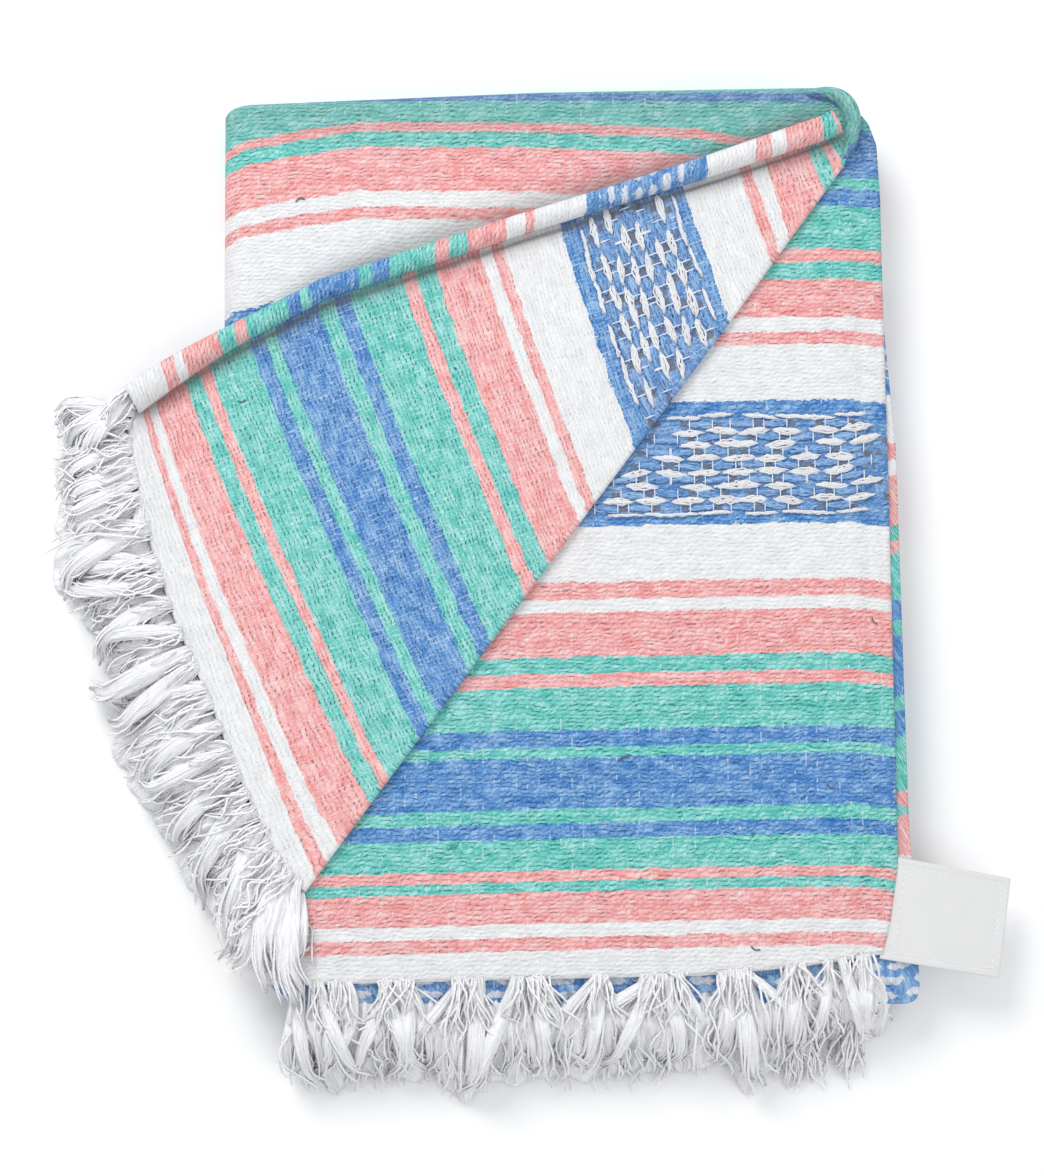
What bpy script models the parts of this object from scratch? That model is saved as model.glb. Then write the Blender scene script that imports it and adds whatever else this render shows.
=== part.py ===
"""A handwoven Mexican blanket, folded to sixteen layers, with one corner of its top layer turned over.

The cloth is 1.27 m across and 1.778 m along. It is folded in half and in half again along its length,
and then twice across, so it lies as a packet with its fringed ends at the front. Sizes are in
millimetres and turn into metres where a mesh is made. X runs to the right across the packet, Y runs
back from the fringe to the fold, and Z runs up from the surface that the packet lies on.
"""

import math
from collections import namedtuple

import bpy
import numpy as np

MM = 0.001

# Thickness of the cloth and of the packet
WALL = 2.0
GAP = 0.3
PITCH = 2.2
HIDDEN_LAYERS = 14
QUARTER = 4 * PITCH
CORE_HEIGHT = HIDDEN_LAYERS * PITCH
STACK_HEIGHT = CORE_HEIGHT + 2 * (WALL + GAP)
SIDE_RADIUS = STACK_HEIGHT / 2
BACK_RADIUS = (STACK_HEIGHT - GAP - (HIDDEN_LAYERS - 2) * PITCH) / 2
FRONT_PANEL_DEPTH = WALL + GAP
BEND_RADIUS = WALL + GAP / 2

# Edges of the packet in plan: each row is a distance along the edge and the edge's place there. Edges
# at the left and right run along Y and are placed in X, and edges at the front and back the other way
Edge = namedtuple("Edge", "along place")
CORE_FRONT = -198
FAR_BACK = 252
FAR_LEFT = -149
FAR_RIGHT = 190
LEFT_EDGE = (Edge(CORE_FRONT, -127), Edge(0, -142), Edge(110, -147), Edge(FAR_BACK, FAR_LEFT))
CORE_RIGHT_EDGE = (Edge(CORE_FRONT, 188), Edge(-110, 184), Edge(60, 182), Edge(FAR_BACK, 180))
FRONT_PANEL_RIGHT_EDGE = (
    Edge(-180, 169),
    Edge(-160, 174),
    Edge(-132, 178.5),
    Edge(60, 178),
    Edge(220, 177),
    Edge(FAR_BACK, 174),
)
BACK_EDGE = (Edge(FAR_LEFT, 242), Edge(-80, 245), Edge(11, 249), Edge(153, 251.5), Edge(FAR_RIGHT, 251))
FRONT_PANEL_END = (Edge(-128, -190), Edge(-10, -187), Edge(84, -185), Edge(131, -181), Edge(170, -175))
UPPER_PANEL_END = -146
CREASE = (
    Edge(UPPER_PANEL_END, -102),
    Edge(5, 9),
    Edge(127, 99),
    Edge(210, 159),
    Edge(236, 168),
    Edge(FAR_BACK, 168),
)
CREASE_SLOPE = math.radians(54)

# Where the turned corner's free long edge lies in plan, from the fringe to the tip
Spot = namedtuple("Spot", "x y")
ROLL_LINE = (Spot(-188, 95), Spot(-96, 145), Spot(-2, 177), Spot(95, 208), Spot(148, 226), Spot(163, 234))
TIP_SHARE = 0.975
FLAP_BOW = 15
BOW_DIRECTION = (-0.94, -0.35)
OVERHANG_RADIUS = 92

# The rolled edge
ROLL_RADIUS = 5.6
ROLL_TIP_RADIUS = 7.2
ROLL_TURNS = 1.2
ROLL_WIDENS_FROM = 0.7

# How the stack settles towards its free edges
RIGHT_DROP = 3.0
RIGHT_DROP_WIDTH = 26
FRONT_DROP = 2.2
FRONT_DROP_WIDTH = 28
WAVE = 0.5
WAVE_ACROSS = 37
WAVE_ALONG = 52
BACK_FADE = 90
LEFT_FADE = 60

# The hidden layers' edges
GROOVE = 1.1
FRINGE_RECESS = 8
CORNER_RADIUS = 7
BACK_ROOM = 14
BACK_ROOM_STEP = 6
SIDE_STATIONS = 14
END_STATIONS = 14
CAP_RINGS = 6
CAP_CLEARANCE = 0.5

# The label
LABEL_THICKNESS = 0.9
LABEL_CORNERS = (Spot(181.5, -130), Spot(233, -139), Spot(226, -186), Spot(173.5, -178))
LABEL_DROOP = 7

# The fringe
STRIP_WIDTH = 2.4
STRIP_HEIGHT = 1.7
ROOT_WIDTH = 4.2
TIP_WIDTH = 2.0
ROOT_FILL = 0.7
TIP_FILL = 0.33
LOCK_FLATNESS = 0.36
WOBBLE = 0.4
BUNCH_PITCH = 30

COLOURS = {
    "coral": (0.84, 0.32, 0.29),
    "aqua": (0.14, 0.58, 0.43),
    "blue": (0.10, 0.22, 0.60),
    "white": (0.82, 0.82, 0.80),
    "cotton": (0.80, 0.80, 0.82),
    "label": (0.78, 0.78, 0.78),
}


def read(edge, along):
    """The edge's place at a distance along it, in straight runs between the rows of its table."""
    return np.interp(along, [row.along for row in edge], [row.place for row in edge])


def smooth(value):
    """0 below 0, 1 above 1, and an S-curve between."""
    value = np.clip(value, 0, 1)
    return value * value * (3 - 2 * value)


def settle(x, y):
    """How far the top of the stack lies below its full height: soft edges at the right and front, and slow waves."""
    right = -RIGHT_DROP * smooth((x - read(CORE_RIGHT_EDGE, y) + RIGHT_DROP_WIDTH) / RIGHT_DROP_WIDTH)
    front = -FRONT_DROP * smooth((CORE_FRONT + FRONT_DROP_WIDTH - y) / FRONT_DROP_WIDTH)
    waves = WAVE * np.sin(x / WAVE_ACROSS + 1) * np.sin(y / WAVE_ALONG)
    from_back = smooth((read(BACK_EDGE, x) - BACK_RADIUS - WALL - y) / BACK_FADE)
    from_left = smooth((x - read(LEFT_EDGE, y) - SIDE_RADIUS) / LEFT_FADE)
    return (right + front + waves) * from_back * from_left


def make_material(name, colour):
    material = bpy.data.materials.new(name)
    material.use_nodes = True
    shader = material.node_tree.nodes["Principled BSDF"]
    shader.inputs["Base Color"].default_value = (*COLOURS[colour], 1)
    shader.inputs["Roughness"].default_value = 0.92
    shader.inputs["Metallic"].default_value = 0
    material.diffuse_color = (*COLOURS[colour], 1)
    return material


def add_mesh(name, points, faces, colour, collection):
    """Makes one object from points in millimetres."""
    mesh = bpy.data.meshes.new(name)
    mesh.from_pydata((np.asarray(points, float) * MM).tolist(), [], faces)
    mesh.update()
    mesh.materials.append(make_material(name, colour))
    made = bpy.data.objects.new(name, mesh)
    collection.objects.link(made)
    return made


def grid_faces(rows, columns, start=0, flip=False, close=False):
    """The quads of a grid of points that are numbered row by row. close joins the last column to the first."""
    faces = []
    for row in range(rows - 1):
        for column in range(columns - (0 if close else 1)):
            after = (column + 1) % columns
            quad = [
                start + row * columns + column,
                start + row * columns + after,
                start + (row + 1) * columns + after,
                start + (row + 1) * columns + column,
            ]
            faces.append(quad[::-1] if flip else quad)
    return faces


def rim_loop(rows, columns):
    """The numbers of a grid's outermost points, in order round it."""
    front = [column for column in range(columns)]
    right = [row * columns + columns - 1 for row in range(1, rows)]
    back = [(rows - 1) * columns + column for column in range(columns - 2, -1, -1)]
    left = [row * columns for row in range(rows - 2, 0, -1)]
    return front + right + back + left


def add_wall(name, outer, inner, colour, collection):
    """Makes a cloth wall from two grids of points, joined all round their rims."""
    rows, columns = outer.shape[:2]
    count = rows * columns
    points = np.concatenate([outer.reshape(-1, 3), inner.reshape(-1, 3)])
    faces = grid_faces(rows, columns) + grid_faces(rows, columns, count, flip=True)
    rim = rim_loop(rows, columns)
    for here, after in zip(rim, rim[1:] + rim[:1]):
        faces.append([after, here, here + count, after + count])
    return add_mesh(name, points, faces, colour, collection)


def section_along(start, x, depth, straight, around, last_angle):
    """Distance back and depth of a layer that runs straight to the back and then bends over the back fold."""
    centre = read(BACK_EDGE, x) - BACK_RADIUS
    share = np.linspace(0, 1, straight) ** 1.15
    run = start + (centre - start) * share
    angle = np.radians(np.linspace(0, last_angle, around + 1)[1:])
    radius = BACK_RADIUS - depth
    y = np.concatenate([run, centre + radius * np.sin(angle)])
    deep = np.concatenate([np.full(straight, depth), BACK_RADIUS - radius * np.cos(angle)])
    return y, deep


def panel(depth, sides, end_of, right_of, last_angle):
    """One layer's face, a given depth below the top, as a grid: it bends down over the left fold and the back fold.

    sides gives how many columns lie round the left fold and on the flat, and how many rows lie on the
    flat and round the back fold.
    """
    columns = []
    left_turns, across, along, around = sides
    flat_shares = 1 - (1 - np.linspace(0, 1, across)) ** 1.2
    shares = np.concatenate([np.linspace(-1, 0, left_turns + 1)[:-1], flat_shares])
    for share in shares:
        flat = max(share, 0)
        x_front = read(LEFT_EDGE, CORE_FRONT)
        x_back = FAR_LEFT
        for _ in range(5):
            y, deep = section_along(end_of(x_front), x_back, depth, along, around, last_angle)
            left = read(LEFT_EDGE, y) + SIDE_RADIUS
            x = left + (right_of(y) - left) * flat
            x_front, x_back = float(x[0]), float(x[-1])
        if share > 0:
            z = STACK_HEIGHT - deep + settle(x, y)
        else:
            angle = math.pi * -share
            x = left - (SIDE_RADIUS - deep) * math.sin(angle)
            z = SIDE_RADIUS + (SIDE_RADIUS - deep) * math.cos(angle)
        columns.append(np.stack([x, y, z], axis=-1))
    return np.stack(columns, axis=1)


def add_front_panel(collection):
    """The second layer, which shows at the lower right, from its fringed end to the back fold."""

    def right_of(y):
        return read(FRONT_PANEL_RIGHT_EDGE, y)

    def end_of(x):
        return read(FRONT_PANEL_END, x)

    faces = [
        panel(depth, (10, 15, 17, 4), end_of, right_of, 130)
        for depth in (FRONT_PANEL_DEPTH, FRONT_PANEL_DEPTH + WALL)
    ]
    return add_wall("front_panel", faces[0], faces[1], "coral", collection)


def add_upper_panel(collection):
    """The top layer as far as the crease where its corner turns over."""

    def right_of(y):
        return read(CREASE, y) - (BEND_RADIUS + 3 * GAP) / math.sin(CREASE_SLOPE)

    def end_of(x):
        return UPPER_PANEL_END

    faces = [panel(depth, (10, 12, 16, 6), end_of, right_of, 172) for depth in (0, WALL)]
    return add_wall("upper_panel", faces[0], faces[1], "aqua", collection)


def arc_points(spots, shares):
    """Points at the given shares of the length of a line through some spots."""
    spots = np.array(spots, float)
    steps = np.linalg.norm(np.diff(spots, axis=0), axis=1)
    travelled = np.concatenate([[0], np.cumsum(steps)]) / steps.sum()
    return np.stack([np.interp(shares, travelled, spots[:, axis]) for axis in (0, 1)], axis=-1)


def crease_points(shares):
    ends = [Spot(row.place, row.along) for row in CREASE[:-1]]
    return arc_points(ends, shares)


def flap_height(x, y):
    """Height of the turned corner's underside: it lies on the top layer and sags where it leaves the packet."""
    overhang = np.maximum(read(LEFT_EDGE, y) + SIDE_RADIUS - x, 0)
    return STACK_HEIGHT + GAP + settle(x, y) - overhang**2 / (2 * OVERHANG_RADIUS)


def flap_plan(shares, reach):
    """Plan points of the turned corner: shares run from the fringe to the tip, and reach from the crease to the roll."""
    low = crease_points(shares)[:, None, :]
    high = arc_points(ROLL_LINE, shares)[:, None, :]
    away = reach[None, :, None]
    bow = FLAP_BOW * (1 - shares[:, None, None]) ** 1.5 * 4 * away * (1 - away)
    return low + (high - low) * away + bow * np.array(BOW_DIRECTION)


def add_flap(collection):
    """The turned corner: a bend round the crease, and the layer that lies on the top of the packet."""
    shares = np.linspace(0, TIP_SHARE, 22)
    crease = crease_points(shares)
    run = np.gradient(crease, axis=0)
    run /= np.linalg.norm(run, axis=1, keepdims=True)
    inward = np.stack([-run[:, 1], run[:, 0]], axis=-1)
    width = np.linalg.norm(arc_points(ROLL_LINE, shares) - crease, axis=1)
    reach = np.linspace(0, 1, 13)[1:]
    last = 1 - 2 * GAP / width
    level = STACK_HEIGHT + GAP / 2 + settle(crease[:, 0], crease[:, 1])
    walls = []
    for radius, lift in ((BEND_RADIUS, WALL), (GAP / 2, 0)):
        bend = []
        for angle in np.radians(np.linspace(-90, 90, 6)):
            plan = crease + inward * (BEND_RADIUS - radius * math.cos(angle))
            bend.append(np.concatenate([plan, (level + radius * math.sin(angle))[:, None]], axis=1))
        start = np.minimum(BEND_RADIUS / width, 0.6)[:, None]
        away = start + (last[:, None] - start) * reach[None, :]
        rows = []
        for index, share in enumerate(shares):
            rows.append(flap_plan(np.array([share]), away[index])[0])
        plan = np.stack(rows)
        z = flap_height(plan[..., 0], plan[..., 1]) + lift
        top = np.concatenate([plan, z[..., None]], axis=-1)
        walls.append(np.concatenate([np.stack(bend, axis=1), top], axis=1))
    return add_wall("turned_corner", walls[0][::-1], walls[1][::-1], "white", collection)


def add_roll(collection):
    """The turned corner's free selvage, rolled up on top of it in one turn and a little more."""
    shares = np.linspace(0, TIP_SHARE, 27)
    line = arc_points(ROLL_LINE, shares)
    run = np.gradient(line, axis=0)
    run /= np.linalg.norm(run, axis=1, keepdims=True)
    outward = np.stack([-run[:, 1], run[:, 0]], axis=-1)
    radius = ROLL_RADIUS + (ROLL_TIP_RADIUS - ROLL_RADIUS) * smooth((shares - ROLL_WIDENS_FROM) / (1 - ROLL_WIDENS_FROM))
    floor = flap_height(line[:, 0], line[:, 1])
    turn = np.linspace(0, ROLL_TURNS, 17)
    shrink = (WALL + GAP) * turn
    angle = 2 * math.pi * turn
    sides = []
    for inset in (0, WALL):
        reach = radius[:, None] - shrink - inset
        plan = line[:, None, :] + outward[:, None, :] * (reach * np.sin(angle))[..., None]
        z = floor[:, None] + radius[:, None] - reach * np.cos(angle)
        sides.append(np.concatenate([plan, z[..., None]], axis=-1))
    plan_start = sides[1][:, 0, :2] + outward * (2 * GAP)
    sides[0][:, 0, :2] += outward * (2 * GAP)
    sides[1][:, 0, :2] = plan_start
    return add_wall("rolled_selvage", sides[0], sides[1], "coral", collection)


def back_inset(z):
    """How far in the hidden layers lie from the back edge: a round fold for each four layers."""
    if z > (HIDDEN_LAYERS - 2) * PITCH:
        return BACK_RADIUS + 3 * GAP
    middle = QUARTER * (math.floor(min(z, 3 * QUARTER - 0.01) / QUARTER) + 0.5)
    radius = QUARTER / 2
    return radius - math.sqrt(max(radius**2 - (z - middle) ** 2, 0)) + 0.1


def side_inset(z, y, back):
    """How far in they lie from the left fold, inside the two panels that wrap it, with room for the back bend."""
    full = SIDE_RADIUS - 2 * (WALL + GAP)
    tight = SIDE_RADIUS - 2 * BACK_RADIUS - GAP
    radius = full + (tight - full) * smooth((y - back + BACK_ROOM) / BACK_ROOM_STEP)
    return SIDE_RADIUS + GAP - np.sqrt(np.maximum(radius**2 - (z - SIDE_RADIUS) ** 2, 0))


def right_inset(z, edge):
    """Eight layers fold round each other below, and six free selvages lie above."""
    if z < 2 * QUARTER:
        return QUARTER - math.sqrt(max(QUARTER**2 - (z - QUARTER) ** 2, 0)) + 0.2
    return GROOVE * edge + 0.4 * math.sin(z)


def front_inset(z, edge):
    """Pairs of layers end in a round fold or in recessed fringed ends, by their place in the packet."""
    pair = int(min(z, CORE_HEIGHT - 0.01) / (2 * PITCH))
    if pair in (0, 3, 4):
        return FRINGE_RECESS + GROOVE * edge
    middle = 2 * PITCH * (pair + 0.5)
    return PITCH - math.sqrt(max(PITCH**2 - (z - middle) ** 2, 0))


def core_ring(z, edge):
    """One level's outline as points in order round the packet, counter-clockwise from the front left corner."""
    inset_back = back_inset(z)
    inset_front = front_inset(z, edge)
    inset_right = right_inset(z, edge)
    end_share = (1 - np.cos(np.linspace(0, math.pi, END_STATIONS))) / 2
    side_share = (1 - np.cos(np.linspace(0, math.pi, SIDE_STATIONS))) / 2
    front = CORE_FRONT + inset_front
    left_front = read(LEFT_EDGE, front) + float(side_inset(z, front, FAR_BACK))
    right_front = read(CORE_RIGHT_EDGE, front) - inset_right
    back_left = read(BACK_EDGE, FAR_LEFT) - inset_back
    back_right = read(BACK_EDGE, FAR_RIGHT) - inset_back

    def rounded(distance, radius=CORNER_RADIUS):
        short = np.clip(radius - distance, 0, radius)
        return radius - np.sqrt(radius**2 - short**2)

    x = left_front + (right_front - left_front) * end_share
    front_side = np.stack([x, front + rounded(right_front - x)], axis=-1)
    y = front + (back_right - front) * side_share
    right_side = np.stack([read(CORE_RIGHT_EDGE, y) - inset_right - rounded(y - front), y], axis=-1)
    left_back = FAR_LEFT + float(side_inset(z, FAR_BACK, back_left))
    right_back = read(CORE_RIGHT_EDGE, FAR_BACK) - inset_right
    x = right_back + (left_back - right_back) * end_share
    back_side = np.stack([x, read(BACK_EDGE, x) - inset_back], axis=-1)
    y = back_left + (front - back_left) * side_share
    left_side = np.stack([read(LEFT_EDGE, y) + side_inset(z, y, back_left), y], axis=-1)
    front_side[-1] = (front_side[-1] + right_side[0]) / 2
    return np.concatenate([front_side[:-1], right_side[:-1], back_side[:-1], left_side[:-1]])


def add_core(collection):
    """The fourteen hidden layers as one solid: rings up its grooved edges, and a soft top."""
    levels = [(0.0, 0.0)]
    for layer in range(HIDDEN_LAYERS):
        levels.append(((layer + 0.5) * PITCH, 0.0))
        if layer < HIDDEN_LAYERS - 1:
            levels.append(((layer + 1) * PITCH, 1.0))
    levels.append((CORE_HEIGHT - 2 * GAP, 0.4))
    rings = []
    for z, edge in levels:
        ring = core_ring(z, edge)
        lift = settle(ring[:, 0], ring[:, 1]) * (z / CORE_HEIGHT) ** 1.5
        rings.append(np.concatenate([ring, (z + lift)[:, None]], axis=1))
    rim = core_ring(CORE_HEIGHT - 2 * GAP, 0.4)
    middle = rim.mean(axis=0)
    for step in range(1, CAP_RINGS):
        share = 1 - (step / CAP_RINGS) ** 1.3
        ring = middle + (rim - middle) * share
        level = CORE_HEIGHT - CAP_CLEARANCE + settle(*ring.T)
        rings.append(np.concatenate([ring, level[:, None]], axis=1))
    count = len(rim)
    points = np.concatenate(rings)
    faces = grid_faces(len(rings), count, close=True)
    faces.append(list(range(count))[::-1])
    last = (len(rings) - 1) * count
    centre = len(points)
    points = np.concatenate([points, [[*middle, CORE_HEIGHT - CAP_CLEARANCE + float(settle(*middle))]]])
    for column in range(count):
        faces.append([last + column, last + (column + 1) % count, centre])
    return add_mesh("folded_layers", points, faces, "blue", collection)


def add_label(collection):
    """A blank woven label, sewn to the selvage below the front panel, which sticks out and droops a little."""
    across = np.linspace(0, 1, 9)[:, None, None]
    down = np.linspace(0, 1, 7)[None, :, None]
    corner = np.array(LABEL_CORNERS, float)
    top = corner[0] + (corner[1] - corner[0]) * across
    bottom = corner[3] + (corner[2] - corner[3]) * across
    plan = top + (bottom - top) * down
    edge = read(CORE_RIGHT_EDGE, plan[..., 1])
    out = np.maximum(plan[..., 0] - edge, 0) / (LABEL_CORNERS[1].x - edge)
    base = CORE_HEIGHT + GAP + settle(np.minimum(plan[..., 0], edge - CORNER_RADIUS), plan[..., 1])
    z = base - LABEL_DROOP * out**1.6
    under = np.concatenate([plan, z[..., None]], axis=-1)
    over = under + np.array([0, 0, LABEL_THICKNESS])
    return add_wall("label", over, under, "label", collection)


def scatter(number, seed):
    """A value from -1 to 1 for each strand that looks random and is the same in each run."""
    return 2 * ((np.sin(number * 12.9898 + seed) * 43758.5453) % 1) - 1


def add_fringe(name, roots, tips, lifts, collection, steps=4):
    """Strands fused at their roots to a narrow strip.

    roots and tips are plan points of the strands' two ends, in order along the strip. lifts holds each
    strand's heights at its steps. Each strand has four sides and narrows towards its tip.
    """
    count = len(roots)
    run = np.gradient(roots, axis=0)
    run /= np.linalg.norm(run, axis=1, keepdims=True)
    outward = np.stack([run[:, 1], -run[:, 0]], axis=-1)
    pitch = np.linalg.norm(np.diff(roots, axis=0), axis=1)
    seam = (roots[1:] + roots[:-1]) / 2
    ends = [roots[0] - run[0] * pitch[0] / 2, roots[-1] + run[-1] * pitch[-1] / 2]
    seam = np.concatenate([[ends[0]], seam, [ends[1]]])
    seam_out = np.concatenate([[outward[0]], (outward[1:] + outward[:-1]) / 2, [outward[-1]]])
    seam_z = np.concatenate([[lifts[0, 0]], (lifts[1:, 0] + lifts[:-1, 0]) / 2, [lifts[-1, 0]]])
    half = STRIP_HEIGHT / 2
    root_width = min(ROOT_WIDTH, ROOT_FILL * pitch.mean())
    tip_width = min(TIP_WIDTH, TIP_FILL * pitch.mean())
    corners = []
    for depth, rise in ((0, -half), (STRIP_WIDTH, -half), (STRIP_WIDTH, half), (0, half)):
        plan = seam + seam_out * depth
        corners.append(np.concatenate([plan, (seam_z + rise)[:, None]], axis=1))
    strip = np.stack(corners, axis=1)
    points = list(strip.reshape(-1, 3))
    faces = [[0, 1, 2, 3], [4 * count + 3, 4 * count + 2, 4 * count + 1, 4 * count]]
    for index in range(count):
        low = 4 * index
        high = low + 4
        for here, after in ((0, 1), (2, 3), (3, 0)):
            faces.append([high + here, high + after, low + after, low + here])
        ring = [low + 1, low + 2, high + 2, high + 1]
        share = np.linspace(0, 1, steps + 1)[1:]
        start = roots[index] + outward[index] * STRIP_WIDTH
        wobble = WOBBLE * np.sin(share * math.pi) * scatter(index, 3)
        plan = start + (tips[index] - start) * share[:, None] + run[index] * wobble[:, None]
        for step in range(steps):
            width = root_width + (tip_width - root_width) * share[step]
            centre = np.array([*plan[step], lifts[index, step + 1]])
            side = np.array([*run[index], 0]) * width / 2
            rise = np.array([0, 0, width * LOCK_FLATNESS])
            first = len(points)
            points += [centre - side - rise, centre - side + rise, centre + side + rise, centre + side - rise]
            following = [first, first + 1, first + 2, first + 3]
            for here in range(4):
                after = (here + 1) % 4
                faces.append([following[here], following[after], ring[after], ring[here]])
            ring = following
        faces.append(ring[::-1])
    return add_mesh(name, np.array(points), faces, "cotton", collection)


def bunched(places, pull, phase=0.0):
    """Tip offsets that draw the strands together in bunches one pitch apart."""
    return -pull * np.sin(2 * math.pi * (places / BUNCH_PITCH + phase)) * BUNCH_PITCH / (2 * math.pi)


def falling(top, bottom, shares, power):
    """Heights from top to bottom, level at first and steeper towards the tip."""
    return top + (bottom - top) * shares**power


def add_front_fringes(collection):
    """The fringed end of the front panel, and those of the hidden layers below it."""
    Row = namedtuple("Row", "name count steps first last root_y root_z tip_y power")
    rows = (
        Row("front_fringe", 44, 5, -107, 163, None, None, -236, 3.0),
        Row("middle_fringe", 28, 4, -104, 160, -190.35, 17.6, -222, 1.9),
        Row("base_fringe", 24, 3, -104, 160, -190.35, 2.2, -211, 1.0),
    )
    for seed, row in enumerate(rows):
        x = np.linspace(row.first, row.last, row.count)
        index = np.arange(row.count)
        if row.root_y is None:
            y = read(FRONT_PANEL_END, x) - GAP
            top = STACK_HEIGHT - FRONT_PANEL_DEPTH - WALL / 2 + settle(x, y + STRIP_WIDTH)
            top = top + 0.15
        else:
            y = np.full(row.count, float(row.root_y))
            top = np.full(row.count, row.root_z)
        roots = np.stack([x, y], axis=-1)
        reach = 9 * np.sin(x / 21 + seed) * np.sin(x / 8.3) + 3 * scatter(index, seed)
        if row.root_y is not None:
            reach = reach * 0.3
        tips = np.stack([x + bunched(x, 0.62, 0.2 * seed), row.tip_y + reach], axis=-1)
        shares = np.linspace(0, 1, row.steps + 1)
        tip_z = GAP + TIP_WIDTH / 2
        lifts = np.stack([falling(level, tip_z, shares, row.power) for level in top])
        add_fringe(row.name, roots, tips, lifts, collection, row.steps)


def add_upper_fringe(collection):
    """What shows of the top layer's own fringed end, beside the turned corner."""
    count = 6
    x = np.linspace(-121, -104.5, count)
    roots = np.stack([x, np.full(count, UPPER_PANEL_END - GAP)], axis=-1)
    tips = roots + np.stack([np.linspace(-7, -1, count), np.full(count, -34.0)], axis=-1)
    shares = np.linspace(0, 1, 5)
    lifts = np.tile(STACK_HEIGHT - 0.3 - 0.7 * shares, (count, 1))
    outside = np.clip((read(LEFT_EDGE, UPPER_PANEL_END) + SIDE_RADIUS - x) / 12, 0, 1) ** 2
    lifts = lifts - outside[:, None] * (1 + 4 * shares)
    add_fringe("upper_fringe", roots, tips, lifts, collection)


def add_flap_fringe(collection):
    """The turned corner's fringed end, which hangs over the left of the packet to the surface below."""
    count = 38
    reach = np.linspace(0.985, 0.07, count)
    edge = flap_plan(np.array([0.0]), reach)[0]
    run = np.gradient(edge, axis=0)
    run /= np.linalg.norm(run, axis=1, keepdims=True)
    outward = np.stack([run[:, 1], -run[:, 0]], axis=-1)
    roots = edge + outward * GAP
    place = np.concatenate([[0], np.cumsum(np.linalg.norm(np.diff(edge, axis=0), axis=1))])
    index = np.arange(count)
    length = 44 + 5 * np.sin(place / 19 + 1) * np.sin(place / 7) + 2.5 * scatter(index, 9)
    lean = bunched(place, 0.62, 0.1) + 6 * smooth(place / 240)
    tips = roots + outward * length[:, None] + run * lean[:, None]
    top = flap_height(edge[:, 0], edge[:, 1]) + WALL / 2
    steps = 5
    lifts = []
    for number in range(count):
        plan = roots[number] + (tips[number] - roots[number]) * np.linspace(0, 1, steps)[:, None]
        hang = falling(top[number], GAP + TIP_WIDTH / 2, np.linspace(0, 1, steps), 2.0)
        outside = read(LEFT_EDGE, plan[:, 1]) - plan[:, 0]
        over = STACK_HEIGHT + 3.4 - np.maximum(outside + 8, 0) ** 2 / 24
        lifts.append(np.maximum(hang, np.minimum(over, top[number])))
    lifts = np.array(lifts)
    lifts[:, -1] = np.where(lifts[:, -1] < 3, GAP + TIP_WIDTH / 2, lifts[:, -1])
    add_fringe("turned_corner_fringe", roots, tips, lifts, collection)


def clear_scene():
    for old in list(bpy.data.objects):
        bpy.data.objects.remove(old, do_unlink=True)


def move_to_base_centre(collection):
    """Moves the meshes so that the origin is at the middle of the underside of the whole blanket's box."""
    corners = [np.array([vertex.co[:] for vertex in made.data.vertices]) for made in collection.objects]
    low = np.min([points.min(axis=0) for points in corners], axis=0)
    high = np.max([points.max(axis=0) for points in corners], axis=0)
    shift = np.array([-(low[0] + high[0]) / 2, -(low[1] + high[1]) / 2, -low[2]])
    for made, points in zip(collection.objects, corners):
        made.data.vertices.foreach_set("co", (points + shift).ravel())
        made.data.update()


def main():
    clear_scene()
    collection = bpy.data.collections.new("folded_blanket")
    bpy.context.scene.collection.children.link(collection)
    add_core(collection)
    add_front_panel(collection)
    add_upper_panel(collection)
    add_flap(collection)
    add_roll(collection)
    add_label(collection)
    add_front_fringes(collection)
    add_upper_fringe(collection)
    add_flap_fringe(collection)
    move_to_base_centre(collection)


if __name__ == "__main__":
    main()
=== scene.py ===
"""A handwoven Mexican blanket, folded to sixteen layers, with one corner of its top layer turned over.

Lengths are in millimetres in the blanket's own drawing frame, and turn into the frame's metres where a
mesh is made. X runs right across the packet, Y runs back from the fringe to the fold, and Z runs up from
the surface that it lies on.
"""

import math
from collections import namedtuple

import bpy
import numpy as np
from bpy.props import FloatProperty, FloatVectorProperty, IntProperty, PointerProperty
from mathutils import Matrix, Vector


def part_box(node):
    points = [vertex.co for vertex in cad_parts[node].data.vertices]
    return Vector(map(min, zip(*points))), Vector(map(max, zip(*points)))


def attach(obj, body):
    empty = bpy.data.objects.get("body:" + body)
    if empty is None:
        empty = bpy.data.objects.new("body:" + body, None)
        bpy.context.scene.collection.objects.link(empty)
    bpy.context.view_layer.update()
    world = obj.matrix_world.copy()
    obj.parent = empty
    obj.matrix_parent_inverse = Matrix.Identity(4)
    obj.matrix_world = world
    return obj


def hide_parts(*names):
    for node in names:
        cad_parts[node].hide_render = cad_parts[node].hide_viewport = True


bl_info = {
    "name": "Folded Mexican Blanket",
    "version": (1, 0, 0),
    "blender": (4, 5, 0),
    "location": "View3D > Sidebar > Blanket",
    "description": "Builds a folded, fringed Mexican blanket round its packed solids",
    "category": "Add Mesh",
}

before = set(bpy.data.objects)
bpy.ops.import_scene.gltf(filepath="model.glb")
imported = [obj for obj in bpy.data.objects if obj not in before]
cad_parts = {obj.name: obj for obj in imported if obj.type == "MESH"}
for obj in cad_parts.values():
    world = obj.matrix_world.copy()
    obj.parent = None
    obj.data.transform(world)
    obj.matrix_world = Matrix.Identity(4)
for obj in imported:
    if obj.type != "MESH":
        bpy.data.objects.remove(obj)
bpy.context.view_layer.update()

MM = 0.001
TURN = 2 * math.pi

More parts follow.
